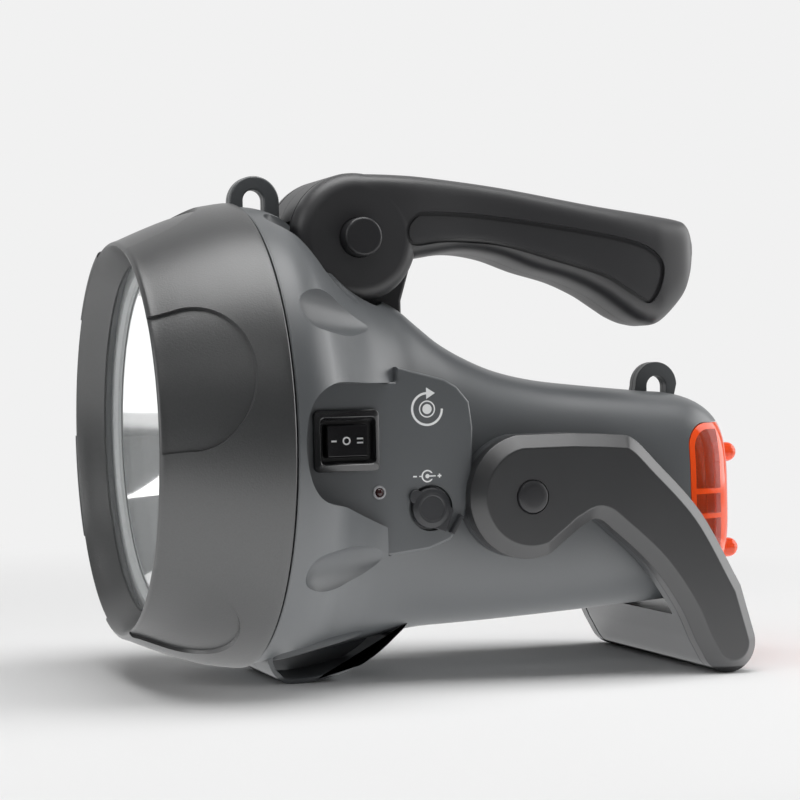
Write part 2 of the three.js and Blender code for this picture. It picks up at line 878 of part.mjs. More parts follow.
function switchFrame() {
  const front = -panelFace - switchRise;
  const outline = plate(switchX, switchZ, switchWidth, switchHeight, switchCorner);
  const rim = slab(outline, front, -panelFace - gap, switchEdge, switchEdgeDepth);
  const [canWidth, canHeight] = [switchWidth - 2 * switchLap, switchHeight - 2 * switchLap];
  const canOutline = plate(switchX, switchZ, canWidth, canHeight, switchEdge);
  const can = slab(canOutline, -panelFace - switchEdge, -panelFace + switchDepth);
  const trayOutline = plate(switchX + trayShift, switchZ, trayWidth, trayHeight, trayCorner);
  const tray = slab(trayOutline, front - overrun, front + trayDepth);
  const [wellWidth, wellHeight] = [rockerWidth + 2 * rockerTurnRoom, rockerHeight + 2 * gap];
  const well = slab(plate(switchX, switchZ, wellWidth, wellHeight, switchEdge), front, front + wellDepth);
  return cut(rim.add(can), tray, well);
}

// The rocker: a block with a shallow hollow face, drawn in plan and pulled along z.
function rocker() {
  const half = rockerWidth / 2;
  const face = [-1, -0.6, -0.2, 0.2, 0.6, 1].map((t) => [t * half, rockerFront - rockerHollow * (1 - t * t)]);
  const geometry = new THREE.ExtrudeGeometry(
    shapeOf([...face, [half - rockerTaper, rockerBack], [-half + rockerTaper, rockerBack]]),
    {
      depth: rockerHeight - 2 * rockerEdge,
      bevelSize: rockerEdge,
      bevelThickness: rockerEdge,
      bevelOffset: -rockerEdge,
      bevelSegments: 1,
    },
  );
  return solidFrom(geometry.rotateX(Math.PI).translate(switchX, 0, switchZ + rockerHeight / 2 - rockerEdge));
}

function chargeLight() {
  const [front, back] = [-panelFace - lightRise, panelBack + overrun];
  const dome = [[0, front], [lightRadius - lightRise, front], [lightRadius, -panelFace]];
  return turnedY([...dome, [lightRadius, back], [0, back]], lightX, lightZ, 16);
}

// A barrel with a centre pin, on a square base behind the panel.
function socket() {
  const mouth = -panelFace + coverSink + 2 * gap;
  const back = mouth + socketDepth;
  const barrel = discY(socketRadius, [mouth, back], socketX, socketZ, 20);
  const [left, right] = [socketX - socketBase, socketX + socketBase];
  const base = box(left, right, panelBack + gap, back, socketZ - socketBase, socketZ + socketBase);
  const bore = discY(socketRadius - socketWall, [mouth - overrun, back - socketWall], socketX, socketZ, 12);
  const pin = discY(socketPin, [mouth + socketWall, back - socketWall / 2], socketX, socketZ, 8);
  return cut(barrel.add(base), bore).add(pin);
}

const coverBack = -panelFace + coverSink - gap;
const skirtBack = -panelFace - gap;

// The skirt's corners as shares of the way from the disc's middle to the anchor.
const skirtShares = [
  [0.2, -1.05],
  [-0.25, 1],
  [0.58, 1.42],
  [0.93, 0.18],
];

// The rubber cover: a disc with a pull tab, a skirt that widens to its anchor and a plug for the socket.
function socketCover() {
  const face = coverBack - coverThickness;
  const disc = slab(circle(socketX, socketZ, coverRadius, 20), face, coverBack, coverEdge);
  const tab = slab(circle(socketX - tabReach, socketZ + tabRise, tabRadius, 12), face, skirtBack, tabEdge);
  const [across, down] = [anchorX - socketX, anchorZ - socketZ];
  const corners = skirtShares.map(([x, z]) => [socketX + x * across, socketZ + z * down]);
  const skirt = slab(shapeOf(corners), face + tabEdge, skirtBack);
  const plug = discY(plugRadius, [coverBack - coverEdge, coverBack + plugLength], socketX, socketZ, 12);
  return join(disc, tab, skirt, plug);
}

const anchorTurn = 32.3;

function coverAnchor() {
  const bar = new THREE.BoxGeometry(anchorWidth, coverThickness, anchorLength);
  bar.rotateY(anchorTurn * degrees).translate(anchorX, skirtBack - coverThickness / 2, anchorZ);
  return solidFrom(bar);
}

function controlBoard() {
  const front = -panelFace + switchDepth + gap;
  const middle = (switchZ + socketZ) / 2;
  const [left, right] = [switchX - switchWidth / 2, socketX + socketBase];
  const [low, high] = [middle - boardHalfHeight, middle + boardHalfHeight];
  return box(left, right, front, front + boardThickness, low, high);
}

// Battery

function battery() {
  const rear = batteryFront + batteryLength;
  const top = batteryFloor + batteryHeight;
  const outline = roundedRect(batteryFront, rear, batteryFloor, top, batteryEdge, 1);
  const block = slab(outline, -batteryHalf, batteryHalf, batteryEdge);
  const terminal = (x) => {
    const half = terminalWidth / 2;
    return box(x, x + terminalLength, -half, half, top - batteryEdge, top + terminalHeight);
  };
  const lastTerminal = rear - terminalInset - terminalLength;
  return join(block, terminal(batteryFront + terminalInset), terminal(lastTerminal));
}

// Tail lamp

const lensMiddle = (lensTop + lensBottom) / 2;

function tailLens() {
  const skin = housingForm().intersect(lensPrism(0));
  const ribs = [-1, 1].map((side) => {
    const z = lensMiddle + side * lensBand;
    const [low, high] = [z - lensRib / 2, z + lensRib / 2];
    return box(lensLeft + wall, tailEnd, -tailHalfWidth, tailHalfWidth, low, high);
  });
  const ribbed = join(...ribs).intersect(cut(tailForm(wall / 2), tailForm(trayInset - gap)));
  const buffers = [-1, 1].flatMap((y) => [-1, 1].map((z) => lensBuffer(y, z)));
  return join(cut(skin, tailForm(wall)), ribbed, ...buffers);
}

// One of the four domed buffers that the lamp can stand on.
function lensBuffer(side, level) {
  const r = bufferRadius;
  const centre = tailEnd + bufferReach - r;
  const dome = [30, 60, 90].map((t) => [centre + r * Math.sin(t * degrees), r * Math.cos(t * degrees)]);
  const profile = [[tailEnd - wall / 2, 0], [tailEnd - wall / 2, r], [centre, r], ...dome];
  return turnedX(profile, 12).translate([0, side * bufferSide, lensMiddle + level * bufferSpread]);
}

// The tray behind the lens, with a rim that follows the edge of the opening.
function lampCarrier() {
  const band = cut(tailForm(wall + gap), tailForm(trayInset + trayWall)).intersect(lensPrism(wall));
  return cut(band, cut(lensPrism(-traySpare), tailForm(trayInset)));
}

function tailBoard() {
  const back = tailEnd - trayInset - trayWall - gap;
  const half = tailBoardHalf;
  return box(back - boardThickness, back, -half, half, tailLampZ - half, tailLampZ + half);
}

function tailLed(side) {
  const x = tailEnd - trayInset + gap;
  const room = trayInset - wall - 2 * gap;
  const dome = [[x + room / 2, ledRadius], [x + room, ledRadius / 2], [x + room, 0]];
  return turnedX([[x, 0], [x, ledRadius], ...dome], 12).translate([0, 0, tailLampZ + side * ledSpread]);
}

// Stand

// The lower line of an arm from its throat to its tip, as shares of the arm's reach, then its back from the
// tip to the boss.
const armUnderShares = [
  [0.25, -0.155],
  [0.34, -0.118],
  [0.43, -0.18],
  [0.61, -0.345],
  [0.75, -0.54],
  [0.83, -0.71],
];
const armBackShares = [
  [1.07, -0.46],
  [0.87, -0.11],
  [0.64, 0.14],
  [0.53, 0.245],
  [0.44, 0.267],
  [0.21, 0.281],
];

function armShape() {
  const line = (shares, steps) => curve(shares.map(([x, z]) => [x * standReach, z * standReach]), steps);
  return shapeOf([
    ...arc(0, 0, standBoss, 100, 292, 12),
    ...line(armUnderShares, 8),
    ...arc(standReach, -standDrop, standTip, 205, 372, 8),
    ...line(armBackShares, 9),
  ]);
}

const onPivot = (solid) => solid.translate([standPivotX, 0, standPivotZ]);

function armCover(side) {
  const outer = span(side, standSplit + gap / 2, standOuter);
  const arm = slab(armShape(), -standOuter, standOuter, standChamfer, standChamferDepth);
  const half = arm.intersect(box(-farAway, farAway, ...outer, -farAway, farAway));
  const seat = span(side, standOuter - standAxleEnd, standOuter + overrun);
  return onPivot(cut(half, discY(standAxle + gap, span(side, standInner, standOuter), 0, 0, 16),
    discY(standCap + gap, seat, 0, 0, 20)));
}

// The U-shaped frame inside the two covers: an arm at each side and a bar across the tips.
function standFrame() {
  const half = standSplit - gap / 2;
  const arms = cut(
    slab(armShape(), -half, half),
    box(-farAway, farAway, -standInner, standInner, -farAway, farAway),
  );
  const bar = slab(armShape(), -half, half).intersect(
    box(standReach / 2, farAway, -farAway, farAway, -farAway, -barDrop),
  );
  return onPivot(cut(arms.add(bar), discY(standAxle + gap, [-standOuter, standOuter], 0, 0, 16)));
}

function standAxleOf(side) {
  const length = span(side, batteryHalf + wall + 2 * gap, standOuter - standAxleEnd - gap);
  return discY(standAxle, length, standPivotX, standPivotZ, 16);
}

function standCapOf(side) {
  const base = standOuter - standAxleEnd + gap;
  const shoulder = [standCap - standCapRise, standOuter + standCapRise / 2];
  const face = [[0, base], [standCap, base]];
  const crown = [[standCap, standOuter], shoulder, [0, standOuter + standCapRise]];
  const profile = [...face, ...crown].map(([r, y]) => [r, side * y]);
  return turnedY(profile, standPivotX, standPivotZ, 20);
}

// Handle

// Stations of the grip as shares: along its length, then its top and underside over the hub's radius, its
// half width over the grip's own and the squareness of its section.
const gripShares = [
  [0.02, 0.95, -0.3, 1.25, 5],
  [0.135, 0.955, -0.32, 1.24, 5],
  [0.198, 0.935, -0.28, 1.19, 4.6],
  [0.309, 0.872, -0.2, 1.08, 4],
  [0.412, 0.804, -0.28, 1.02, 3.6],
  [0.515, 0.711, -0.49, 1, 3.4],
  [0.617, 0.609, -0.66, 1, 3.4],
  [0.699, 0.53, -0.87, 1, 3.4],
  [0.757, 0.48, -1.08, 1, 3.4],
  [0.801, 0.445, -1.24, 0.99, 3.4],
  [0.846, 0.41, -1.34, 0.97, 3.4],
  [0.89, 0.375, -1.33, 0.93, 3.3],
  [0.956, 0.318, -1, 0.8, 3.2],
  [0.983, 0.26, -0.74, 0.68, 3.1],
  [1, 0.06, -0.4, 0.5, 3],
];

const gripStation = ([place, top, bottom, half, power], inset) => ({
  x: pivotX + place * gripLength,
  half: half * gripHalfWidth - inset,
  top: pivotZ + top * hubRadius - inset,
  bottom: pivotZ + bottom * hubRadius + inset,
  power,
});

const gripForm = () => loft(gripShares.map((row) => section(gripStation(row, 0), 20)));

// The room in the grip starts clear of the hub and ends short of the tip.
const gripRoom = () =>
  loft(gripShares.filter((_, i) => i > 2 && i % 3 === 0).map((row) => section(gripStation(row, wall), 12)));

function hubForm() {
  const centre = [hubRadius - hubFillet, -hubHalfWidth + hubFillet];
  const bow = arc(...centre, hubFillet, -90, 0, 3);
  const far = bow.map(([r, y]) => [r, -y]).reverse();
  return turnedY([[0, -hubHalfWidth], ...bow, ...far, [0, hubHalfWidth]], pivotX, pivotZ, 32);
}

// The slot between the cheeks: round the bracket, and open where its neck passes as the handle turns.
function hubSlot() {
  const half = bracketHalfWidth + slotRoom;
  const sweep = shapeOf([[pivotX, pivotZ], ...arc(pivotX, pivotZ, hubRadius + slotRoom, -14, -196, 12)]);
  return discY(bracketRadius + slotRoom, [-half, half], pivotX, pivotZ, 24).add(slab(sweep, -half, half));
}

// Outline of the shallow panel in each side of the grip, as shares of its length and of the hub's radius.
const gripPanelShares = [
  [0.165, 0.16],
  [0.19, 0.36],
  [0.36, 0.34],
  [0.6, 0.16],
  [0.8, -0.06],
  [0.875, -0.3],
  [0.885, -0.6],
  [0.84, -0.95],
  [0.78, -0.72],
  [0.7, -0.42],
  [0.55, -0.18],
  [0.4, -0.02],
  [0.25, -0.04],
  [0.18, -0.06],
];

// The two recessed side panels of the grip, which follow its taper.
function gripPanels() {
  const outline = gripPanelShares.map(([x, z]) => [pivotX + x * gripLength, pivotZ + z * hubRadius]);
  const through = slab(shapeOf(outline), -hubHalfWidth - overrun, hubHalfWidth + overrun);
  const core = loft(gripShares.map((row) => section(gripStation(row, gripPanelDepth), 20)));
  return cut(through, core);
}

function handleShells() {
  const bore = join(
    discY(buttonRadius + gap, [-hubHalfWidth - overrun, 0], pivotX, pivotZ, 24),
    discY(buttonRadius + buttonFlange + gap, [-bracketHalfWidth - wall - 2 * gap, 0], pivotX, pivotZ, 24),
    discY(axleRadius + gap, [0, hubHalfWidth - axleHead], pivotX, pivotZ, 20),
    discY(buttonRadius + gap, [hubHalfWidth - capDepth, hubHalfWidth + overrun], pivotX, pivotZ, 24),
  );
  return halves(cut(hubForm().add(gripForm()), hubSlot(), gripRoom(), bore, gripPanels()));
}

// The bracket stands on the housing between the cheeks; its rear corner is the handle's lower stop.
function handleBracket() {
  const foot = bracketFoot + gap;
  const outline = [
    [pivotX - bracketFront, foot],
    [pivotX + bracketRear, foot],
    [pivotX + bracketRear, (foot + pivotZ + bracketStopZ) / 2],
    [pivotX + bracketStopX, pivotZ + bracketStopZ],
    [pivotX + bracketTop, pivotZ + bracketStopZ + gap],
    ...arc(pivotX, pivotZ, bracketRadius, -28, 240, 16),
  ];
  const plateBody = slab(shapeOf(outline), -bracketHalfWidth, bracketHalfWidth, bracketEdge);
  const seat = [-bracketHalfWidth - overrun, -bracketHalfWidth + bracketSeat];
  return cut(
    plateBody,
    discY(buttonRadius + buttonFlange + 2 * gap, seat, pivotX, pivotZ, 24),
    discY(axleRadius + gap, [-headRadius, headRadius], pivotX, pivotZ, 20),
  );
}

const buttonBack = -bracketHalfWidth - slotRoom;

function handleAxle() {
  const length = [buttonBack - buttonFlangeThickness + gap, hubHalfWidth - axleHead - gap];
  return discY(axleRadius, length, pivotX, pivotZ, 20);
}

// The button: a cap with a flange that keeps it in the cheek, hollow over the end of the axle.
function handleButton() {
  const front = -hubHalfWidth - buttonRise;
  const flangeFront = buttonBack - buttonFlangeThickness;
  const bore = axleRadius + gap;
  const boreEnd = flangeFront - buttonTravel - gap;
  const rim = buttonRadius + buttonFlange;
  const cap = [[0, front], [buttonRadius - buttonEdge, front], [buttonRadius, front + buttonEdge]];
  const flange = [[buttonRadius, flangeFront], [rim, flangeFront], [rim, buttonBack]];
  const hollow = [[bore, buttonBack], [bore, boreEnd], [0, boreEnd]];
  return turnedY([...cap, ...flange, ...hollow], pivotX, pivotZ, 24);
}

// The return spring between the bracket and the button.
function buttonSpring() {
  const floor = -bracketHalfWidth + bracketSeat - gap - springWire / 2;
  const rise = buttonBack + gap + springWire / 2 - floor;
  const [coils, steps] = [2.5, 24];
  const path = new THREE.CatmullRomCurve3(
    Array.from({ length: steps + 1 }, (_, i) => {
      const turn = (i / steps) * coils * 360 * degrees;
      const [x, z] = [springRadius * Math.cos(turn), springRadius * Math.sin(turn)];
      return new THREE.Vector3(pivotX + x, floor + (rise * i) / steps, pivotZ + z);
    }),
  );
  const wire = circle(0, 0, springWire / 2, 5);
  return solidFrom(new THREE.ExtrudeGeometry(wire, { steps, extrudePath: path, bevelEnabled: false }));
}

function handleCap() {
  const base = hubHalfWidth - capDepth + gap;
  const top = hubHalfWidth + capDepth;
  const crown = [[buttonRadius, top - buttonEdge], [buttonRadius - buttonEdge, top], [0, top]];
  return turnedY([[0, base], [buttonRadius, base], ...crown], pivotX, pivotZ, 24);
}

// Assembly

const finish = (color, roughness, metalness = 0, extra = {}) =>
  new THREE.MeshStandardMaterial({ color, roughness, metalness, ...extra });

const finishes = {
  bezel: finish(0x3a3c3e, 0.55),
  housing: finish(0x6c7072, 0.5),
  handle: finish(0x2a2a2c, 0.6),
  stand: finish(0x333436, 0.6),
  frame: finish(0x47494b, 0.6),
  clear: finish(0xe8eef0, 0.05, 0, { transparent: true, opacity: 0.25 }),
  grey: finish(0xa8aaab, 0.5),
  mirror: finish(0xf2f2f2, 0.05, 1),
  lamp: finish(0xf6e27a, 0.4),
  board: finish(0x1f5a34, 0.5),
  alloy: finish(0x9a9da0, 0.4, 1),
  gloss: finish(0x17181a, 0.15),
  rubber: finish(0x303234, 0.75),
  cell: finish(0x2b3340, 0.5),
  orange: finish(0xe8481a, 0.12, 0, { transparent: true, opacity: 0.7 }),
  carrier: finish(0x4a2f22, 0.6),
  red: finish(0xb01c12, 0.2),
  steel: finish(0x8d9092, 0.3, 1),
};

const lamp = new THREE.Group();

function add(name, solid, material) {
  const mesh = new THREE.Mesh(geometryFrom(solid), finishes[material]);
  mesh.name = name;
  lamp.add(mesh);
}

const housing = housingShells();
const shells = handleShells();

add("bezel_ring", bezelRing(), "bezel");
add("front_lens", frontLens(), "clear");
add("lens_gasket", lensGasket(), "grey");
add("reflector", reflector(), "mirror");
add("lamp_emitter", lampEmitter(), "lamp");
add("lamp_board", lampBoard(), "board");
add("heat_sink", heatSink(), "alloy");
add("housing_left", housing.left, "housing");
add("housing_right", housing.right, "housing");
add("switch_frame", switchFrame(), "gloss");
add("rocker", rocker(), "gloss");
add("charge_light", chargeLight(), "red");
add("charging_socket", socket(), "gloss");
add("socket_cover", socketCover(), "rubber");
add("cover_anchor", coverAnchor(), "rubber");
add("control_board", controlBoard(), "board");
add("battery", battery(), "cell");
add("tail_lens", tailLens(), "orange");
add("tail_lamp_carrier", lampCarrier(), "carrier");
add("tail_lamp_board", tailBoard(), "board");
add("tail_led_upper", tailLed(1), "red");
add("tail_led_lower", tailLed(-1), "red");
add("handle_bracket", handleBracket(), "handle");
add("handle_shell_left", shells.left, "handle");
add("handle_shell_right", shells.right, "handle");
add("handle_axle", handleAxle(), "steel");
add("handle_button", handleButton(), "handle");
add("button_spring", buttonSpring(), "steel");
add("handle_cap", handleCap(), "handle");
add("stand_frame", standFrame(), "frame");
add("stand_cover_left", armCover(-1), "stand");
add("stand_cover_right", armCover(1), "stand");
add("stand_axle_left", standAxleOf(-1), "steel");
add("stand_axle_right", standAxleOf(1), "steel");
add("stand_cap_left", standCapOf(-1), "handle");
add("stand_cap_right", standCapOf(1), "handle");

// The lamp tips forward until its skid foot and its stand both touch the table, with its middle over the
// origin.
const spotlight = new THREE.Group();
spotlight.add(lamp);
lamp.rotation.y = -Math.atan(restSlope);
const bounds = new THREE.Box3().setFromObject(lamp, true);
const middle = bounds.getCenter(new THREE.Vector3());
lamp.position.set(-middle.x, -middle.y, -bounds.min.z);

export default spotlight;
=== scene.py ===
# %% [markdown]
# # A rechargeable hand spotlight
# The packed model gives every part its place and its size. This lesson dresses those parts: it models the
# outer shells again with finer surfaces, gives each part its plastic, rubber, glass or metal, and sets up a
# soft studio with the camera where the photograph was taken from. The frame is loaded first.

# %% Load the packed lamp
import bisect
import math

import bmesh
import bpy
from mathutils import Matrix, Vector


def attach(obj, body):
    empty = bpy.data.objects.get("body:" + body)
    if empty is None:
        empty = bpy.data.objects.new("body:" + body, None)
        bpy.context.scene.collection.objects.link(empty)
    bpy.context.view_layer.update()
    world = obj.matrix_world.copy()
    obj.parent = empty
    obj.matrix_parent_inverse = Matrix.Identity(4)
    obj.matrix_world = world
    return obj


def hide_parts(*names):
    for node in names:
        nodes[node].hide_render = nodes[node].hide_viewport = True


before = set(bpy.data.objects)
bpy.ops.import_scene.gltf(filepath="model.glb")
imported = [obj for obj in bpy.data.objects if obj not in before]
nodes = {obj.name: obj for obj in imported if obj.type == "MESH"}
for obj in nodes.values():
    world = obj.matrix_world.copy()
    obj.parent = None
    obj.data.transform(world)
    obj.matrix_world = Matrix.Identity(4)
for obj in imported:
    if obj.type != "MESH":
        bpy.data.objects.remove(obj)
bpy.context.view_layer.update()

# %% [markdown]
# ## The lamp's own axes
# A designer draws a lamp about the axis of its head, and only then sets it on a table, where it tips forward
# by just over a degree until its skid and its stand both touch. Working in the drawing's axes keeps every
# number plain, such as a lens at 30 mm in front of the seam. One matrix carries finished shapes to the table.

# %% From the head's axis to the table
MM = 0.001
TIP = -0.022539014
ON_TABLE = Matrix.Translation((-0.0738034749, 0, 0.0854693546)) @ Matrix.Rotation(TIP, 4, "Y")
LAMP = ON_TABLE @ Matrix.Scale(MM, 4)
print("the lamp's tip in degrees", round(math.degrees(TIP), 3))

# %% [markdown]
# ## The camera
# The photograph looks at the switch side from a little in front, almost level, through a long lens. A long
# lens keeps the head and the tail close to their true proportions.

# %% Place the camera
CAMERA_PLACE = (-0.199, -0.737, 0.022)
CAMERA_ROUND, CAMERA_DOWN, CAMERA_ROLL = 19.61, 0.83, 1.33
camera_data = bpy.data.cameras.new("camera")
camera_data.lens = 97.47
camera_data.sensor_width = 36
camera_data.clip_start = 0.05
camera = bpy.data.objects.new("camera", camera_data)
bpy.context.scene.collection.objects.link(camera)
camera.matrix_world = (
    ON_TABLE
    @ Matrix.Translation(CAMERA_PLACE)
    @ Matrix.Rotation(math.radians(-CAMERA_ROUND), 4, "Z")
    @ Matrix.Rotation(math.radians(90 - CAMERA_DOWN), 4, "X")
    @ Matrix.Rotation(math.radians(-CAMERA_ROLL), 4, "Z")
)
bpy.context.scene.camera = camera
print("camera at", [round(v, 3) for v in camera.matrix_world.translation])

# %% [markdown]
# ## Shader arithmetic
# A finish is easier to read as a sum than as a web of nodes. One small class wraps a socket, so that
# 1 - mask adds the Math node it needs. A second class holds a material and makes every other kind of node
# through one method.

# %% Sockets that can be added and multiplied
class Value:
    """A shader socket that takes part in sums."""

    def __init__(self, finish, socket):
        self.finish = finish
        self.socket = socket

    def math(self, operation, *others):
        sockets = dict(enumerate((self, *others)))
        return self.finish.node("ShaderNodeMath", {"operation": operation}, sockets)

    def __add__(self, other):
        return self.math("ADD", other)

    __radd__ = __add__

    def __mul__(self, other):
        return self.math("MULTIPLY", other)

    __rmul__ = __mul__

    def __sub__(self, other):
        return self.math("SUBTRACT", other)

    def __rsub__(self, other):
        return (self * -1) + other

    def __truediv__(self, other):
        return self.math("DIVIDE", other)

    def __pow__(self, other):
        return self.math("POWER", other)

    def __lt__(self, other):
        return self.math("LESS_THAN", other)

    def __gt__(self, other):
        return self.math("GREATER_THAN", other)

    def __abs__(self):
        return self.math("ABSOLUTE")

    def either(self, other):
        return self.math("MAXIMUM", other)

    def rising(self, low, high):
        """0 where the value is below low, 1 above high, and smooth between."""
        sockets = {"Value": self, "From Min": low, "From Max": high}
        return self.finish.node("ShaderNodeMapRange", {"interpolation_type": "SMOOTHSTEP"}, sockets)


print("a value has", sum(callable(part) for part in vars(Value).values()), "methods")

# %% A material that is written as sums
class Finish:
    """A material with one Principled shader, and the nodes that feed it."""

    def __init__(self, name, **fixed):
        self.material = bpy.data.materials.new(name)
        self.material.use_nodes = True
        self.tree = self.material.node_tree
        self.shader = self.tree.nodes["Principled BSDF"]
        self.output = self.tree.nodes["Material Output"]
        for socket, value in fixed.items():
            self.set(socket.replace("_", " "), value)

    def node(self, kind, settings=None, sockets=None, output=0):
        """Any node: its settings are set first, then its sockets get their values and links."""
        made = self.tree.nodes.new(kind)
        for key, value in (settings or {}).items():
            setattr(made, key, value)
        for key, value in (sockets or {}).items():
            self.feed(made.inputs[key], value)
        return Value(self, made.outputs[output])

    def feed(self, socket, value):
        if isinstance(value, Value):
            self.tree.links.new(value.socket, socket)
        else:
            socket.default_value = value

    def set(self, socket, value):
        self.feed(self.shader.inputs[socket], value)

    def place(self):
        """Where a point is on the piece, in metres."""
        return self.node("ShaderNodeTexCoord", output=3)

    def drawn(self):
        """Where a point is in the lamp's own axes, in millimetres: x, y and z."""
        shift = Matrix.Rotation(-TIP, 3, "Y") @ ON_TABLE.translation * (-1 / MM)
        sockets = {"Vector": self.place(), "Location": shift, "Rotation": (0, -TIP, 0), "Scale": (1 / MM,) * 3}
        turned_back = self.node("ShaderNodeMapping", {"vector_type": "POINT"}, sockets)
        return [self.node("ShaderNodeSeparateXYZ", sockets={0: turned_back}, output=i) for i in range(3)]

    def noise(self, size, detail=2, roughness=0.5):
        """Soft noise from 0 to 1 with spots of about size millimetres."""
        sockets = {"Vector": self.place(), "Scale": 1 / (size * MM), "Detail": detail, "Roughness": roughness}
        return self.node("ShaderNodeTexNoise", sockets=sockets)

    def scaled(self, colour, amount):
        """A colour made lighter or darker by an amount that changes over the surface."""
        return self.node("ShaderNodeVectorMath", {"operation": "SCALE"}, {0: colour, "Scale": amount})

    def mixed(self, share, first, second):
        return self.node("ShaderNodeMix", {"data_type": "RGBA"}, {0: share, 6: first, 7: second}, output=2)

    def bump(self, height, depth):
        """Raises the surface by height times depth, in millimetres."""
        sockets = {"Height": height, "Distance": depth * MM, "Strength": 1.0}
        self.set("Normal", self.node("ShaderNodeBump", sockets=sockets))

    def print_over(self, mask, ink):
        """Prints a colour over the base colour where a mask is 1."""
        ground = Value(self, self.shader.inputs["Base Color"].links[0].from_socket)
        self.set("Base Color", self.mixed(mask, ground, ink))


sample = Finish("sample")
sample.set("Roughness", 1 - sample.noise(10) * 0.5)
print("nodes that 1 - noise * 0.5 adds:", len(sample.tree.nodes) - 2)
bpy.data.materials.remove(sample.material)

# %% [markdown]
# ## Moulded plastics and soft rubber
# Tools for such housings are spark-eroded, which leaves a fine even grain that turns a gloss into a satin.
# The grain is a noise of under half a millimetre that bumps the surface and breaks up its gloss, over faint
# clouds where the melt ran a little differently. The handle has a soft coat, so its grain is finer and its
# sheen wider.

# %% Moulded finishes
def moulded(name, colour, roughness, grain=0.5, depth=0.012, cloud=0.05, speck=0.16, **fixed):
    finish = Finish(name, **fixed)
    clouds = finish.noise(38, detail=3)
    grains = finish.noise(grain, detail=2, roughness=0.6)
    shade = 1 + (clouds - 0.5) * (2 * cloud) + (grains - 0.5) * speck
    finish.set("Base Color", finish.scaled(colour, shade))
    finish.set("Roughness", roughness + (grains - 0.5) * 0.12 + (clouds - 0.5) * 0.06)
    finish.bump(grains, depth)
    return finish


def plain(finish):
    return finish.material


SHEEN = {"Specular_IOR_Level": 0.85}
bezel_plastic = plain(
    moulded("bezel_plastic", (0.036, 0.037, 0.038), 0.36, grain=0.6, depth=0.045, speck=0.5, **SHEEN)
)
handle_coat = plain(moulded("handle_coat", (0.015, 0.015, 0.017), 0.46, grain=0.35, depth=0.008, **SHEEN))
button_plastic = plain(moulded("button_plastic", (0.019, 0.019, 0.021), 0.4, grain=0.35, depth=0.006))
cover_plastic = plain(moulded("cover_plastic", (0.017, 0.0175, 0.019), 0.38, grain=0.45, depth=0.012, **SHEEN))
frame_plastic = plain(moulded("frame_plastic", (0.036, 0.038, 0.041), 0.38, grain=0.45, depth=0.012, **SHEEN))
gasket_rubber = plain(moulded("gasket_rubber", (0.4, 0.41, 0.41), 0.5, grain=0.3))
flap_rubber = plain(moulded("flap_rubber", (0.026, 0.027, 0.03), 0.42, grain=0.3, depth=0.008))
carrier_plastic = plain(moulded("carrier_plastic", (0.035, 0.016, 0.01), 0.4))
cell_plastic = plain(moulded("cell_plastic", (0.04, 0.055, 0.08), 0.45))
print("moulded finishes", len(bpy.data.materials))

# %% [markdown]
# ## Polished plastics and metals
# The rocker switch comes from a polished tool, so its only texture is a faint waviness. Axles and the heat sink
# are turned or drawn, which leaves fine lines that stretch the gloss. Both recipes are a noise again, one slow
# and one quick.

# %% Polished and metal finishes
def polished(name, colour, roughness, **fixed):
    """A hard glossy plastic: its only texture is the faint waviness of a polished tool."""
    finish = Finish(name, **fixed)
    waves = finish.noise(6, detail=1)
    finish.set("Base Color", finish.scaled(colour, 0.96 + waves * 0.08))
    finish.set("Roughness", roughness + (waves - 0.5) * 0.03)
    finish.bump(waves, 0.004)
    return finish


def metal(name, colour, roughness, lines=0.3):
    """Turned or drawn metal, with fine lines across it."""
    finish = Finish(name, Metallic=1.0)
    scratches = finish.noise(lines, detail=3)
    finish.set("Base Color", finish.scaled(colour, 0.94 + scratches * 0.12))
    finish.set("Roughness", roughness + (scratches - 0.5) * 0.12)
    finish.bump(scratches, 0.003)
    return finish


gloss_black = plain(polished("gloss_black", (0.013, 0.013, 0.014), 0.24, **SHEEN))
board_green = plain(polished("board_green", (0.02, 0.09, 0.04), 0.35))
alloy = plain(metal("alloy", (0.6, 0.61, 0.62), 0.32))
steel = plain(metal("steel", (0.5, 0.51, 0.52), 0.28))
print("finishes so far", len(bpy.data.materials))

# %% [markdown]
# ## Clear, mirrored and orange parts
# The front glass must let the studio light through to the mirror, so it is mostly transparent with a clean
# gloss on top. The mirror is vacuum-plated plastic: bright metal with the faintest ripple. The tail lens is
# clear orange plastic over a brown carrier. Its thin side lets the dark carrier show, while its border, its
# ribs and its end are seen through more plastic and look a full orange.

# %% Glass and mirror
front_glass = plain(polished("front_glass", (0.9, 0.94, 0.95), 0.03, Alpha=0.1, IOR=1.5))
mirror_plate = plain(metal("mirror_plate", (0.9, 0.9, 0.9), 0.06, lines=14))
print("clear and mirrored:", front_glass.name, mirror_plate.name)


# %% Coloured lenses
def tail_pane(x, z):
    """1 on the thin side of the tail lens and 0 on its thick border and its ribs."""
    inside = (x > 163.8) * (x < 175.5) * (z < -2.6) * (z > -56.5)
    corner = (x < 171) * (z > -9.8) * (((x - 171) ** 2 + (z + 9.8) ** 2) ** 0.5 > 7.2)
    ribs = (abs(z + 34.05) < 0.9).either(abs(z + 25.05) < 0.9)
    return inside * (1 - corner) * (1 - ribs)


orange_clear = polished("orange_clear", (0.9, 0.085, 0.012), 0.1, IOR=1.49)
x, _, z = orange_clear.drawn()
THICK, THIN = 0.88, 0.2
orange_clear.set("Alpha", THICK - tail_pane(x, z) * (THICK - THIN))
orange_clear = plain(orange_clear)

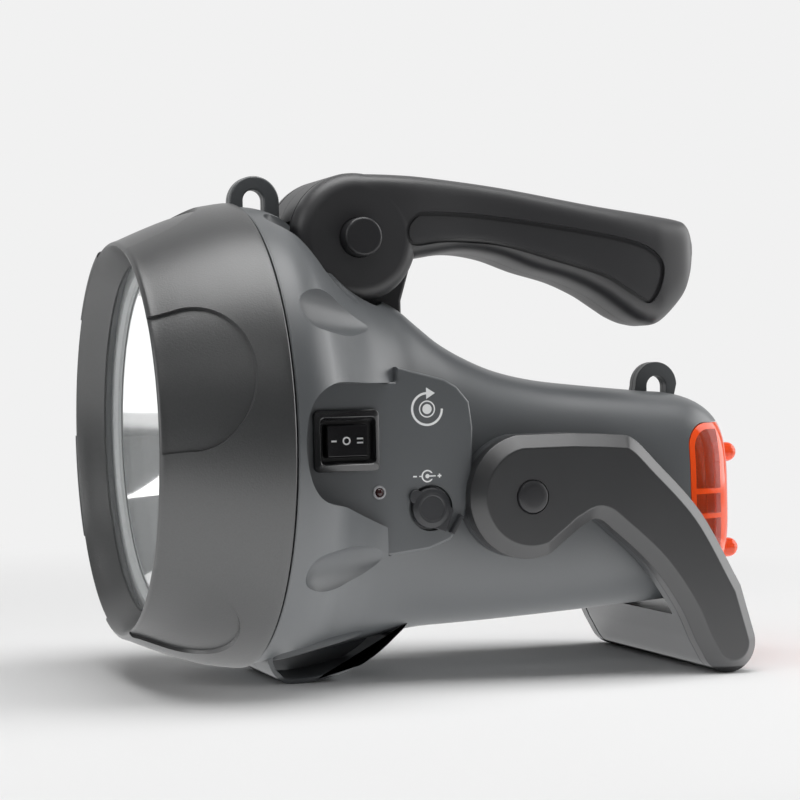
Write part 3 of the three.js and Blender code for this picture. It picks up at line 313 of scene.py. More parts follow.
red_clear = plain(polished("red_clear", (0.5, 0.012, 0.008), 0.12, Alpha=0.9))
light_dome = plain(polished("light_dome", (0.03, 0.008, 0.008), 0.1))
light_rim = plain(polished("light_rim", (0.3, 0.3, 0.31), 0.2))
phosphor = plain(polished("phosphor", (0.85, 0.6, 0.12), 0.3))
print("materials so far", len(bpy.data.materials))

# %% [markdown]
# ## Tools for shapes
# Most of this lamp is made in four ways: an outline pulled into a slab, a profile spun on an axis, a row of
# rings skinned into a body, and one body cut by another. Each way is one short helper over the mesh
# operators, so that a piece reads as the steps a toolmaker would take.

# %% Outlines
def arc(x, z, radius, start, end, steps):
    """Points along an arc, from start to end in degrees."""
    turns = [math.radians(start + (end - start) * i / steps) for i in range(steps + 1)]
    return [(x + radius * math.cos(t), z + radius * math.sin(t)) for t in turns]


def rounded(left, right, low, high, corner, steps=8):
    """A rectangle with round corners."""
    return (
        arc(right - corner, low + corner, corner, -90, 0, steps)
        + arc(right - corner, high - corner, corner, 0, 90, steps)
        + arc(left + corner, high - corner, corner, 90, 180, steps)
        + arc(left + corner, low + corner, corner, 180, 270, steps)
    )


def plate(x, z, width, height, corner, steps=6):
    return rounded(x - width / 2, x + width / 2, z - height / 2, z + height / 2, corner, steps)


def grown(outline, amount):
    """An outline moved outwards; its points run anticlockwise."""
    made = []
    for before, here, after in zip(outline[-1:] + outline[:-1], outline, outline[1:] + outline[:1]):
        way = Vector(after) - Vector(before)
        out = Vector((way.y, -way.x)).normalized()
        made.append((here[0] + out.x * amount, here[1] + out.y * amount))
    return made


print("points round a plate with round corners:", len(plate(0, 0, 20, 10, 2)))

# %% [markdown]
# ## Smooth lines
# A designer gives a form by a few measured rows and lets a spline run through them. Here each stretch between
# two rows is a cubic that leaves each row in the direction of its neighbours, so the line passes through every
# row with no kink.

# %% A spline through a table's rows
def eased(rows, steps, closed=False):
    """A smooth line through the rows of a table, with steps parts between each pair."""
    rows = [Vector(row) for row in rows]
    if closed:
        ends = [rows[-1], *rows, rows[0], rows[1]]
    else:
        ends = [2 * rows[0] - rows[1], *rows, 2 * rows[-1] - rows[-2]]
    made = []
    for a, b, c, d in zip(ends, ends[1:], ends[2:], ends[3:]):
        for i in range(steps):
            t = i / steps
            bend = 2 * b + (c - a) * t + (2 * a - 5 * b + 4 * c - d) * t**2 + (3 * b - a - 3 * c + d) * t**3
            made.append(bend / 2)
    return made if closed else made + [rows[-1]]


print("points on a smooth line through three rows:", len(eased([(0, 0), (1, 1), (2, 0)], 6)))

# %% [markdown]
# ## Slabs with soft edges
# Plates, loops, arms and rooms are outlines pulled straight. No moulded edge is truly sharp, so the edges that
# catch the light are bevelled with a few segments. Edges are picked by how far they turn, or by lying across
# the pull, rather than by number.

# %% Pull an outline into a body
def pulled(corners, way):
    """A flat face of corners, pulled along a vector into a closed body."""
    shape = bmesh.new()
    face = shape.faces.new([shape.verts.new(corner) for corner in corners])
    swept = bmesh.ops.extrude_face_region(shape, geom=[face])["geom"]
    moved = [part for part in swept if isinstance(part, bmesh.types.BMVert)]
    bmesh.ops.translate(shape, verts=moved, vec=way)
    bmesh.ops.recalc_face_normals(shape, faces=shape.faces)
    return shape


def block(x0, x1, y0, y1, z0, z1):
    return pulled([(x0, y0, z0), (x1, y0, z0), (x1, y0, z1), (x0, y0, z1)], (0, y1 - y0, 0))


sample = block(0, 20, 0, 10, 0, 5)
print("a block of 20 by 10 by 5 holds", round(sample.calc_volume()), "mm3")
sample.free()

# %% Find edges and round them
def softened(shape, edges, width, steps=3):
    """Rounds some edges of a shape."""
    sizes = {"offset": width, "offset_type": "OFFSET", "segments": steps, "profile": 0.5}
    bmesh.ops.bevel(shape, geom=list(edges), affect="EDGES", material=-1, clamp_overlap=True, **sizes)
    return shape


def slab(outline, near, far, fillet=0, steps=3):
    """An outline in x and z, pulled from y = near to y = far, with the edges of its near face rounded."""
    shape = pulled([(x, near, z) for x, z in outline], (0, far - near, 0))
    if fillet:
        flat = [e for e in shape.edges if all(abs(v.co.y - near) < 1e-4 for v in e.verts)]
        softened(shape, flat, fillet, steps)
    return shape


def sharp_edges(shape, angle=50):
    """The edges that turn by more than an angle."""
    limit = math.radians(angle)
    return [e for e in shape.edges if len(e.link_faces) == 2 and e.calc_face_angle() > limit]


def rim_edges(shape, angle=50):
    """The sharp edges that keep to one side, where an outline that was pulled along y has its rims."""
    return [e for e in sharp_edges(shape, angle) if abs(e.verts[0].co.y - e.verts[1].co.y) < 1]


sample = block(0, 20, 0, 10, 0, 5)
sample = softened(sample, rim_edges(sample), 1)
print("with its two rims rounded it holds", round(sample.calc_volume()), "mm3")
sample.free()

# %% [markdown]
# ## Turned bodies
# Rings, lenses, caps and bores are round, so they are profiles spun on an axis, as on a lathe. A full spin is
# merged where it closes, and its doubled poles are merged before the normals are worked out again.

# %% Spin a profile
def turned(profile, axis="X", centre=(0, 0, 0), steps=96, ring=False):
    """A profile of place and radius spun about an axis through a centre; a ring's profile is a loop."""
    shape = bmesh.new()
    along = Vector((1, 0, 0)) if axis == "X" else Vector((0, 1, 0))
    out = Vector((0, 0, 1))
    verts = [shape.verts.new(Vector(centre) + along * place + out * radius) for place, radius in profile]
    pairs = list(zip(verts, verts[1:])) + ([(verts[-1], verts[0])] if ring else [])
    edges = [shape.edges.new(pair) for pair in pairs]
    bmesh.ops.spin(
        shape, geom=verts + edges, cent=centre, axis=along, angle=math.tau, steps=steps, use_merge=True
    )
    bmesh.ops.remove_doubles(shape, verts=shape.verts, dist=1e-4)
    bmesh.ops.recalc_face_normals(shape, faces=shape.faces)
    return shape


def rod(radius, near, far, centre, steps=64):
    """A round bar or bore that lies across the lamp."""
    return turned([(near, 0), (near, radius), (far, radius), (far, 0)], "Y", centre, steps)


sample = rod(5, 0, 10, (0, 0, 0))
print("a rod of radius 5 and length 10 holds", round(sample.calc_volume()), "mm3")
sample.free()

# %% [markdown]
# ## Skinned bodies
# The housing and the grip change their section all along, so they are rings bridged in order. Every ring has
# the same number of points, and each end is closed by one face.

# %% Bridge rings into a body
def lofted(rings):
    """Rings of equal point counts bridged in order, and closed at both ends."""
    shape = bmesh.new()
    loops = []
    for ring in rings:
        verts = bmesh.ops.create_circle(shape, segments=len(ring), radius=1)["verts"]
        for vert, point in zip(verts, ring):
            vert.co = point
        loops.append(list({edge for vert in verts for edge in vert.link_edges}))
    for first, second in zip(loops, loops[1:]):
        bmesh.ops.bridge_loops(shape, edges=first + second)
    for loop in (loops[0], loops[-1]):
        bmesh.ops.contextual_create(shape, geom=loop)
    bmesh.ops.recalc_face_normals(shape, faces=shape.faces)
    return shape


sample = lofted([[(x, y, height) for x, y in plate(0, 0, 20, 10, 2)] for height in (0, 5)])
print("two rings 5 apart hold", round(sample.calc_volume()), "mm3")
sample.free()

# %% [markdown]
# ## Carving
# Pockets, rooms, slots and bores are easier to cut than to model round. The Boolean modifier does it, and the
# bodies are closed, so the quick solver for closed bodies keeps them closed.

# %% Carve one body with others
def loose(shape):
    mesh = bpy.data.meshes.new("loose")
    shape.to_mesh(mesh)
    shape.free()
    item = bpy.data.objects.new("loose", mesh)
    bpy.context.scene.collection.objects.link(item)
    return item


def carved(shape, *tools, way="DIFFERENCE"):
    """A body cut by, joined with or kept inside other bodies."""
    blank = loose(shape)
    items = [loose(tool) for tool in tools]
    for item in items:
        step = blank.modifiers.new("carve", "BOOLEAN")
        step.operation, step.object, step.solver = way, item, "MANIFOLD"
    bpy.context.view_layer.update()
    worked = blank.evaluated_get(bpy.context.evaluated_depsgraph_get())
    result = bmesh.new()
    result.from_mesh(worked.to_mesh())
    worked.to_mesh_clear()
    for item in (blank, *items):
        mesh = item.data
        bpy.data.objects.remove(item)
        bpy.data.meshes.remove(mesh)
    return result


def joined(shape, *others):
    return carved(shape, *others, way="UNION")


sample = carved(block(0, 10, 0, 10, 0, 10), rod(3, -1, 11, (5, 0, 5)))
print("a block of 10 with a bore of radius 3 holds", round(sample.calc_volume()), "mm3")
sample.free()

# %% [markdown]
# ## From a shape to a finished piece
# A shape is drawn in millimetres about the head. As a piece it is carried to the table, shaded smooth except
# over its sharp edges, tied to the body it moves with, and set in place of the packed parts it stands for.

# %% Finish a piece
SHARP = 32


def open_edges(mesh):
    """How many edges don't have exactly two faces."""
    count = [0] * len(mesh.edges)
    for loop in mesh.loops:
        count[loop.edge_index] += 1
    return sum(1 for faces in count if faces != 2)


def piece(name, shape, body, material, stands_for=()):
    """Sets a shape on the table as a piece that rides on a body and may stand for packed parts."""
    bmesh.ops.remove_doubles(shape, verts=shape.verts, dist=2e-4)
    shape.transform(LAMP)
    mesh = bpy.data.meshes.new(name)
    shape.to_mesh(mesh)
    shape.free()
    mesh.materials.append(material)
    mesh.shade_smooth()
    mesh.set_sharp_from_angle(angle=math.radians(SHARP))
    made = bpy.data.objects.new(name, mesh)
    bpy.context.scene.collection.objects.link(made)
    evened = made.modifiers.new("even_shading", "WEIGHTED_NORMAL")
    evened.keep_sharp = True
    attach(made, body)
    if stands_for:
        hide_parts(*stands_for)
    print(name, "faces", len(mesh.polygons), "open edges", open_edges(mesh))
    return made


print("edges over", SHARP, "degrees stay sharp")

# %% [markdown]
# ## The bezel
# The big ring in front is a heavy moulding with a bellied outside and five petals sunk into it, each a D
# whose straight side is open at the rim. Moving the points of the ring would blur the petals' borders, so
# each petal is cut: a D-shaped block with leaning sides, less a core that lies a little under the skin, is
# taken off the ring. What stays is an even step all round, with the petal's floor bellied like the ring.

# %% The bezel's profile
HEAD = 80.2
DEPTH = 41.5
BEZEL_LINE = [
    (-1, 0.848), (-0.978, 0.861), (-0.916, 0.873), (-0.737, 0.913),
    (-0.53, 0.955), (-0.313, 0.99), (-0.096, 1.01), (0, 1.013),
]
SEAT, LIP, LIP_X, MOUTH = 65.8, 61.2, -31.6, 66.8
bezel_skin = [(x * DEPTH, r * HEAD) for x, r in eased(BEZEL_LINE, 10)]


def bezel_profile():
    edge = [(0, 80.3), (-0.15, 80.85), (-0.5, 81.15)]
    outside = [point for point in bezel_skin[::-1] if point[0] < -0.9]
    rim = [(-DEPTH - 0.1, 67.6), (-DEPTH, 67.1), (-DEPTH + 0.5, MOUTH - 0.5)]
    wall = [(-38, 64.8), (-35, 63.1), (LIP_X - 0.5, LIP + 0.2), (LIP_X, LIP + 0.3)]
    inside = [(LIP_X, SEAT), (-24, SEAT), (-24, 71.6), (-9.3, 75.5), (-9.3, 77.5), (0, 77.5)]
    return edge + outside + rim + wall + inside


print("points along the bezel's skin", len(bezel_skin))

# %% Spin the bezel and cut its petals
PETALS = [107 + 72 * i for i in range(5)]
PETAL_STEP, PETAL_LEAN = 1.3, 0.25
PETAL_FOOT, PETAL_SKIN, PETAL_TOP = 55, 74, 86
BOW_CENTRE, BOW_LENGTH, BOW_HALF, OPEN_HALF = -31.5, 18.9, 25.2, 24.8


def petal_block(turn):
    """A D-shaped block that stands on the skin in one direction, its sides leaning outwards."""
    turn = math.radians(turn)
    out, across = Vector((0, -math.sin(turn), -math.cos(turn))), Vector((0, -math.cos(turn), math.sin(turn)))
    bow = [math.radians(-90 + 3 * i) for i in range(61)]
    bow = [(BOW_CENTRE + BOW_LENGTH * math.cos(t), BOW_HALF * math.sin(t)) for t in bow]
    line = [(-60, -OPEN_HALF)] + bow + [(-60, OPEN_HALF)]
    return lofted([
        [Vector((x, 0, 0)) + out * height + across * a for x, a in grown(line, PETAL_LEAN * (height - PETAL_SKIN))]
        for height in (PETAL_FOOT, PETAL_TOP)
    ])


def petal_core():
    sunk = [(x, radius - PETAL_STEP) for x, radius in bezel_skin]
    return turned([(-46, 0), (-46, sunk[0][1])] + sunk + [(2, sunk[-1][1]), (2, 0)], steps=576)


petals = carved(joined(*[petal_block(turn) for turn in PETALS]), petal_core())
bezel = carved(turned(bezel_profile(), steps=576, ring=True), petals)
piece("bezel", bezel, "lamp", bezel_plastic, ["bezel_ring"])

# %% [markdown]
# ## Glass, gasket and mirror
# Inside the mouth a flat glass lies on a light grey gasket, and behind it a deep plated bowl throws the beam.
# All three are turned shapes. The bowl follows a parabola, as the real one must to make a parallel beam.

# %% Spin what the mouth holds
GLASS_FRONT = LIP_X + 0.3
GLASS_BACK = GLASS_FRONT + 2.5
GLASS_R = SEAT - 0.3
glass = [(GLASS_FRONT, 0), (GLASS_FRONT, GLASS_R - 0.4), (LIP_X + 0.7, GLASS_R)]
glass += [(GLASS_BACK - 0.4, GLASS_R), (GLASS_BACK, GLASS_R - 0.4), (GLASS_BACK, 0)]
piece("glass", turned(glass, steps=192), "lamp", front_glass, ["front_lens"])

near = GLASS_BACK + 0.3
gasket = [(near, 59.9), (near, 62.2), (near + 0.3, 62.5), (near + 0.3, GLASS_R), (near + 2.4, GLASS_R)]
gasket += [(near + 2.4, 58.6), (near + 1.2, 58.6), (near + 0.9, 58.9)]
piece("gasket", turned(gasket, steps=192, ring=True), "lamp", gasket_rubber, ["lens_gasket"])

RIM_X, BOWL_R, NECK_R, BOWL_DEPTH = near + 2.7, 57, 10, 48
bowl = [BOWL_R + (NECK_R - BOWL_R) * i / 40 for i in range(41)]
bowl = [(RIM_X + BOWL_DEPTH * (BOWL_R**2 - r**2) / (BOWL_R**2 - NECK_R**2), r) for r in bowl]
back = [(x, r + 2) for x, r in bowl[:0:-4]]
flange = [(RIM_X + 1.5, 59), (RIM_X + 1.5, GLASS_R), (RIM_X, GLASS_R), (RIM_X, 57.6)]
piece("mirror", turned(bowl + back + flange, steps=192, ring=True), "lamp", mirror_plate, ["reflector"])

# %% [markdown]
# ## The housing
# The housing flares from a squarish tail, which holds the battery, to the round head. Its sections are
# superellipses whose squareness and edges come from one table, and a smooth line through the table's rows
# keeps the flare free of kinks. Its front edge is drawn in a little, which makes the dark line of the seam.
# What is cut from it, such as the dents and the switch's pocket, and what stands on it, such as the side
# panel, is added afterwards.

# %% The table of the housing's sections
# Each row: place from the seam to the tail, then top, bottom and side as shares, and squareness.
STATIONS = [
    (0, 1, 1, 1, 2), (0.047, 0.988, 0.964, 0.979, 2), (0.085, 0.959, 0.928, 0.926, 2),
    (0.11, 0.917, 0.884, 0.856, 2), (0.135, 0.861, 0.84, 0.759, 2), (0.161, 0.791, 0.79, 0.639, 2.02),
    (0.193, 0.708, 0.725, 0.5, 2.1), (0.231, 0.631, 0.645, 0.361, 2.2), (0.269, 0.574, 0.565, 0.25, 2.35),
    (0.314, 0.525, 0.464, 0.148, 2.55), (0.358, 0.475, 0.362, 0.079, 2.8), (0.402, 0.386, 0.29, 0.037, 3.05),
    (0.454, 0.286, 0.261, 0.014, 3.25), (0.517, 0.2, 0.232, 0.005, 3.4), (0.594, 0.124, 0.196, 0, 3.5),
    (0.694, 0.068, 0.145, 0, 3.5), (0.822, 0.03, 0.072, -0.005, 3.5), (1, -0.013, -0.043, -0.018, 3.5),
]
SEAM, TAIL_ROUND, TAIL_END = 0.6, 158, 182.4
TAIL_TOP, TAIL_BOTTOM, TAIL_HALF = 12.4, 66.4, 37


def station(row):
    """A row of the table in millimetres: x, top, bottom, half width and squareness."""
    place, top, bottom, side, power = row
    return Vector((
        SEAM + place * (TAIL_ROUND - SEAM), TAIL_TOP + top * (HEAD - TAIL_TOP),
        -TAIL_BOTTOM - bottom * (HEAD - TAIL_BOTTOM), TAIL_HALF + side * (HEAD - TAIL_HALF), power,
    ))


print("stations", len(STATIONS), "from x =", SEAM, "to", TAIL_ROUND)


# %% Rings from the table
def tail_rows(inset, steps=14):
    """The rounded end of the tail, drawn in by inset."""
    x, top, bottom, half, power = station(STATIONS[-1])
    rows = []
    for i in range(1, steps + 1):
        turn = math.radians(90 * i / steps)
        inward = 1 - math.cos(turn)
        rows.append(Vector((
            TAIL_ROUND + (TAIL_END - TAIL_ROUND - inset) * math.sin(turn), top - inset - 14.5 * inward,
            bottom + inset + 16 * inward, half - inset - 14 * inward, power,
        )))
    return rows


def section(row, count):
    """One ring of the housing, its points evenly spread by angle."""
    x, top, bottom, half, power = row
    middle, height = (top + bottom) / 2, (top - bottom) / 2
    ring = []
    for i in range(count):
        turn = math.tau * i / count
        c, s = math.cos(turn), math.sin(turn)
        reach = (abs(c / half) ** power + abs(s / height) ** power) ** (-1 / power)
        ring.append((x, reach * c, middle + reach * s))
    return ring


print("points round a ring", len(section(station(STATIONS[0]), 384)))

# %% Skin the housing
rows = eased([station(row) for row in STATIONS], 6)
front_edge = [rows[0] + Vector((0, -0.6, 0.6, -0.6, 0)), rows[0] + Vector((0.15, -0.2, 0.2, -0.2, 0))]
rows[0] = rows[0] + Vector((0.6, 0, 0, 0, 0))
skin_lines = {i: [(row[0], row[i]) for row in rows] for i in (1, 2, 3, 4)}
housing = lofted([section(row, 384) for row in front_edge + rows + tail_rows(0)])
print("housing rows", len(rows), "verts", len(housing.verts))

# %% [markdown]
# ## Dents round the flare
# Each dent looks as if a spindle had been pressed into the flare along its slope: round in front, pointed
# behind, with a clear edge. So each one is a spun spindle that lies on the slope and is cut from the body.

# %% Find the housing's side
def looked_up(table, at):
    """The value of a two-column table at a place, in a straight line between its rows."""
    places = [row[0] for row in table]
    i = min(max(bisect.bisect_right(places, at), 1), len(table) - 1)
    (x0, v0), (x1, v1) = table[i - 1], table[i]
    return v0 + (v1 - v0) * (at - x0) / (x1 - x0)


def side_at(x, z):
    """How far the housing reaches sideways at x and z."""
    top, bottom, half, power = (looked_up(skin_lines[i], x) for i in (1, 2, 3, 4))
    rise = min(1, abs(z - (top + bottom) / 2) / ((top - bottom) / 2))
    return half * (1 - rise**power) ** (1 / power)


print("the housing's half width at x = 39 and z = 0:", round(side_at(39, 0), 1))

# %% Turn the spindles for the dents
DENT = {"start": 8, "end": 39, "radius": 8.6, "rise": 5, "drop": 0.8, "fade": 0.9}
DENT_LINE = [
    (-0.07, 0), (-0.05, 0.5), (0, 0.8), (0.07, 0.93), (0.2, 1), (0.45, 0.97), (0.7, 0.86), (0.9, 0.7),
    (1.02, 0.56), (1.1, 0.4), (1.13, 0),
]
dent_line = [tuple(row) for row in eased(DENT_LINE, 8)]


def spindle(turn, side):
    """A spindle that lies along the flare, at an angle from level on one side."""
    head = looked_up(skin_lines[3], DENT["start"])
    across, up = side * head * math.cos(math.radians(turn)), head * math.sin(math.radians(turn))
    start = Vector((DENT["start"], across, up))
    level = min(up * DENT["fade"] - DENT["drop"], looked_up(skin_lines[1], DENT["end"]) - DENT["radius"])
    along = Vector((DENT["end"], side * side_at(DENT["end"], level), level)) - start
    length = along.length
    along.normalize()
    out = Vector((0, across, up)).normalized()
    out = (out - along * out.dot(along)).normalized()
    body = turned([(t * length, DENT["radius"] * max(0, share)) for t, share in dent_line], steps=72)
    axes = Matrix((along, out.cross(along), out)).transposed().to_4x4()
    body.transform(Matrix.Translation(start + out * DENT["rise"]) @ axes)
    return body


dents = [spindle(turn, -1) for turn in (71, 31, -33, -73)]
dents += [spindle(turn, 1) for turn in (71, 31, -1, -33, -73)]
print("dents", len(dents), "points round one", len(dents[0].verts))

# %% [markdown]
# ## The pocket and the side panel
# The switch sits in a pocket cut into the flare, and the pocket's floor runs on into a raised panel with the
# charge light and the charging socket. Floor and panel are one flat slab here, so no line shows between
# them. The pocket's walls lean outwards a little, as they must for the moulding to leave its tool.

# %% The outlines of the pocket and the panel
FACE = -44
PANEL = [
    (43.4, -41.5), (57.5, -39.9), (65.5, -37), (70.8, -28.7), (73.6, -16.8), (74.4, 1.4), (73.2, 10.2),
    (68.8, 15.5), (64.2, 18.1), (47, 22.6), (46.7, 18.2),
]
FLOOR_END = [
    (46.2, 17.5), (42, 17.6), (37, 19.4), (20, 19.8), (7, 18), (1.6, 8), (1.6, -10), (6, -22), (20, -27),
    (39, -36), (40.4, -41.5),
]
POCKET = [
    (20.7, 17.5), (15.2, 16.9), (10.2, 14.4), (6.6, 10.1), (4.9, 4.7), (4.3, -1.9), (5.1, -9), (7.4, -15.5),
    (11.7, -19.7), (19.9, -22),
]
pocket_line = [(51, 20.6), (47.6, 21.6), (46.4, 18), (45, 17.3), (34, 17.3)] + [tuple(p) for p in eased(POCKET, 5)]
pocket_line += [(30, -26.5), (41.4, -31.5), (42.4, -41.5), (51, -41.5)]
print("points round the pocket", len(pocket_line), "and the panel", len(PANEL + FLOOR_END))

# %% Cut the pocket and shape the panel
HUB = (42, 0, 68)
pocket = lofted([
    [(x, FACE + 0.4, z) for x, z in pocket_line],
    [(x, -HEAD - 4, z) for x, z in grown(pocket_line, 1)],
])
panel = slab(PANEL + FLOOR_END, FACE, FACE + 16, fillet=1.3, steps=4)
hub_room = rod(24.7, -23.2, 23.2, HUB, 128)
tail_opening = slab(rounded(161.3, 200, -59.1, 0, 9, 12), -40, 40)
housing = carved(housing, *dents)
housing = carved(housing, pocket, hub_room, tail_opening)
print("housing after cuts", len(housing.faces))

# %% [markdown]
# ## What stands on the housing
# Two strap loops, two pads that keep the stand's arms off the sides, and a thin skid under the head. The
# loops are flat rings with rounded edges. The skid is a bowed strip, open at both sides, with a web in the
# middle, so the light can shine in under it as it does on the real lamp.

# %% Loops
def strap_loop(x, half, eye, shift, top, eye_top, foot, lean):
    outline = [(x + half - lean, foot)] + arc(x, top - half, half, 0, 180, 32) + [(x - half - lean, foot)]
    ring = pulled([(px, -2.7, pz) for px, pz in outline], (0, 5.4, 0))
    middle = x + shift
    hole = [(middle + eye, foot + 4)] + arc(middle, eye_top - eye, eye, 0, 180, 32) + [(middle - eye, foot + 4)]
    ring = carved(ring, slab(hole, -6, 6))
    return softened(ring, sharp_edges(ring), 1.5, 4)


front_loop = strap_loop(10.05, 9.15, 3.75, -0.3, 90.9, 86, 71, 0)
rear_loop = strap_loop(164.9, 8.5, 4, 0.1, 22.3, 17.2, 6, 2)
print("loop faces", len(front_loop.faces), len(rear_loop.faces))


# %% Skid and pads
def smooth_step(low, high, at):
    t = min(max((at - low) / (high - low), 0), 1)
    return t * t * (3 - 2 * t)


RESTS = [
    (0, 0), (0, 0.59), (0.035, 0.8), (0.09, 0.94), (0.16, 1), (0.32, 0.9898), (0.45, 0.92), (0.575, 0.82),
    (0.7, 0.64), (0.815, 0.43), (1, 0),
]
SKID_X, SKID_Z, SKID_L, SKID_DROP, SKID_WALL, SKID_HALF = 5.5, -66.9, 51.5, 18.9, 1.9, 22
skid_line = [(SKID_X + SKID_L * x, SKID_Z - SKID_DROP * z) for x, z in eased(RESTS[1:], 4)]
skid_inner = [
    (x + SKID_WALL * (1 - smooth_step(5.5, 12, x)), z + SKID_WALL * smooth_step(-80, -84, z)) for x, z in skid_line
]
strip_line = [(SKID_X, SKID_Z)] + skid_line + skid_inner[::-1] + [(SKID_X + SKID_WALL, SKID_Z)]
strip = pulled([(x, -SKID_HALF, z) for x, z in strip_line], (0, 2 * SKID_HALF, 0))
strip = softened(strip, rim_edges(strip), 0.5, 2)
web = slab([(SKID_X, SKID_Z)] + skid_line, -1.5, 1.5)
STAND_AXLE = (92.7, 0, -23.1)
pads = [
    turned([(side * 30, 0), (side * 30, 19.7), (side * 37, 19.7), (side * 37.4, 19.3), (side * 37.4, 0)], "Y",
           STAND_AXLE, 96)
    for side in (-1, 1)
]
housing = joined(housing, panel, strip, web, front_loop, rear_loop, *pads)
print("housing with its fittings", len(housing.faces))

# %% [markdown]
# ## Rooms, holes and the parting
# The shell is hollow: a room for the mirror bowl, a box for the battery and one for the control board. The
# switch, the charge light and the socket pass through the panel. Last, the shell is parted on its middle
# plane into the two halves that are moulded and screwed together, with the fine gap that shows between them.

# %% Hollow the shell
SWITCH = (28.2, -1.9)
LIGHT, SOCKET = (39.7, 0, -19.8), (58.2, 0, -25.8)
front_room = turned([(-1, 0), (-1, 75), (3.2, 75), (3.8, 38), (29, 38), (29, 30), (62, 30), (62, 0)], steps=96)
battery_room = block(60, 147, -18, 18, -62.4, 6)
board_room = block(14, 64, -36.6, 0, -34, 8)
neck_slot = block(32, 62.4, -12.3, 12.3, 33.7, 68)
housing = carved(housing, front_room, battery_room, board_room)
print("housing with its rooms", len(housing.faces))

# %% Cut the holes and part the shell
switch_hole = slab(plate(*SWITCH, 21.8, 19.4, 1), -47, -30)
light_hole = rod(1.9, -47, -34, LIGHT, 32)
socket_hole = rod(4.4, -47, -34, SOCKET, 48)
cover_seat = turned([(-46, 0), (-46, 7.9), (-42.9, 7.9), (-42.6, 7.6), (-42.6, 0)], "Y", SOCKET, 96)
axle_bore = rod(4.3, -52, 52, STAND_AXLE, 32)
housing = carved(housing, switch_hole, light_hole, socket_hole, cover_seat, neck_slot, axle_bore)
right_half = carved(housing.copy(), block(-50, 250, -120, 0.15, -120, 120))
left_half = carved(housing, block(-50, 250, -0.15, 120, -120, 120))
print("halves", len(left_half.faces), len(right_half.faces))

# %% [markdown]
# ## The housing's plastic and its print
# The shell is a mid grey satin with white marks on its panel: a turning arrow round a button shows how the
# handle is set, and the usual polarity sign shows which way round the charger's plug is wired. The marks are
# sums of distances in the lamp's own axes, so they stay sharp and need no picture.

# %% Marks that are printed
def dot(x, z, centre, radius):
    return ((x - centre[0]) ** 2 + (z - centre[1]) ** 2) ** 0.5 < radius


def hoop(x, z, centre, radius, width):
    return abs(((x - centre[0]) ** 2 + (z - centre[1]) ** 2) ** 0.5 - radius) < width / 2


def bar(x, z, centre, width, height):
    return (abs(x - centre[0]) < width / 2) * (abs(z - centre[1]) < height / 2)


def turn_mark(x, z):
    """Most of a hoop with an arrow head, round a button."""
    middle = (57.6, 8)
    hoop_part = hoop(x, z, middle, 5.4, 0.8) * (1 - (x > middle[0]) * (z > middle[1]))
    head = (x > 57.4) * (abs(z - 13.4) < (60.6 - x) * 0.62)
    button = dot(x, z, middle, 1.7).either(hoop(x, z, middle, 2.7, 0.45))
    return hoop_part.either(head).either(button)


def polarity_mark(x, z):
    """A minus, an open hoop round a dot, and a plus, joined by lines."""
    line = -14.9
    minus = bar(x, z, (52.7, line), 1.4, 0.5)
    cup = hoop(x, z, (57.2, line), 1.9, 0.5) * (1 - (x > 57.8) * (abs(z - line) < 1))
    lines = bar(x, z, (54.8, line), 1.2, 0.4).either(bar(x, z, (58.9, line), 2.6, 0.4))
    plus = bar(x, z, (61.6, line), 1.4, 0.5).either(bar(x, z, (61.6, line), 0.5, 1.4))
    return minus.either(cup).either(lines).either(dot(x, z, (57.2, line), 0.75)).either(plus)


for mark in (turn_mark, polarity_mark):
    print(mark.__name__, "draws:", mark.__doc__)


# %% Grey housing plastic
HOUSING_GREY, INK = (0.082, 0.088, 0.093), (0.8, 0.81, 0.81, 1)


def housing_finish(name, printed):
    finish = moulded(name, HOUSING_GREY, 0.4, grain=0.5, depth=0.012, cloud=0.08, **SHEEN)
    if printed:
        x, y, z = finish.drawn()
        finish.print_over(turn_mark(x, z).either(polarity_mark(x, z)) * (y < -43), INK)
    return plain(finish)


piece("housing_left_shell", left_half, "lamp", housing_finish("housing_printed", True), ["housing_left"])
piece("housing_right_shell", right_half, "lamp", housing_finish("housing_plain", False), ["housing_right"])

# %% [markdown]
# ## The switch
# A snap-in rocker switch: a frame whose rim slopes away like a picture frame's, a tray inside it and a hollow
# rocker that tips either way. The sloping rim is what catches the light above and below the rocker. It is
# gloss black, and the rocker carries the usual marks for one lamp, off, and the other lamp.

# %% The switch's frame
frame_rim = lofted([
    [(x, y, z) for x, z in plate(*SWITCH, 23.2 - 2 * inset, 20.8 - 2 * inset, 2 - inset / 2)]
    for y, inset in ((-44, 0), (-45, 0), (-45.3, 0.1), (-45.5, 0.35), (-46.25, 2.2))
])
frame_can = slab(plate(*SWITCH, 20.4, 18, 1), -45, -35)
tray = lofted([
    [(x, y, z) for x, z in plate(28.5, SWITCH[1], 17.6 + 2 * lean, 13.6 + 2 * lean, 1 + lean / 2)]
    for y, lean in ((-42.8, 0), (-44.8, 0.3), (-46, 1), (-46.6, 1.9))
])
well = slab(plate(*SWITCH, 15.9, 11.3, 1), -48, -38)
switch_frame = carved(joined(frame_rim, frame_can), tray, well)
piece("switch_rim", switch_frame, "lamp", gloss_black, ["switch_frame"])


# %% The rocker and its marks
def rocker_marks(x, z):
    middle = SWITCH[1]
    first = bar(x, z, (23.6, middle), 2, 0.55)
    off = hoop(x, z, (SWITCH[0], middle), 1.15, 0.5)
    second = bar(x, z, (32.8, middle + 0.7), 2, 0.5).either(bar(x, z, (32.8, middle - 0.7), 2, 0.5))
    return first.either(off).either(second)


rocker_finish = polished("rocker_gloss", (0.009, 0.009, 0.01), 0.18)
x, y, z = rocker_finish.drawn()
rocker_finish.print_over(rocker_marks(x, z) * (y < -44), (0.7, 0.7, 0.7, 1))

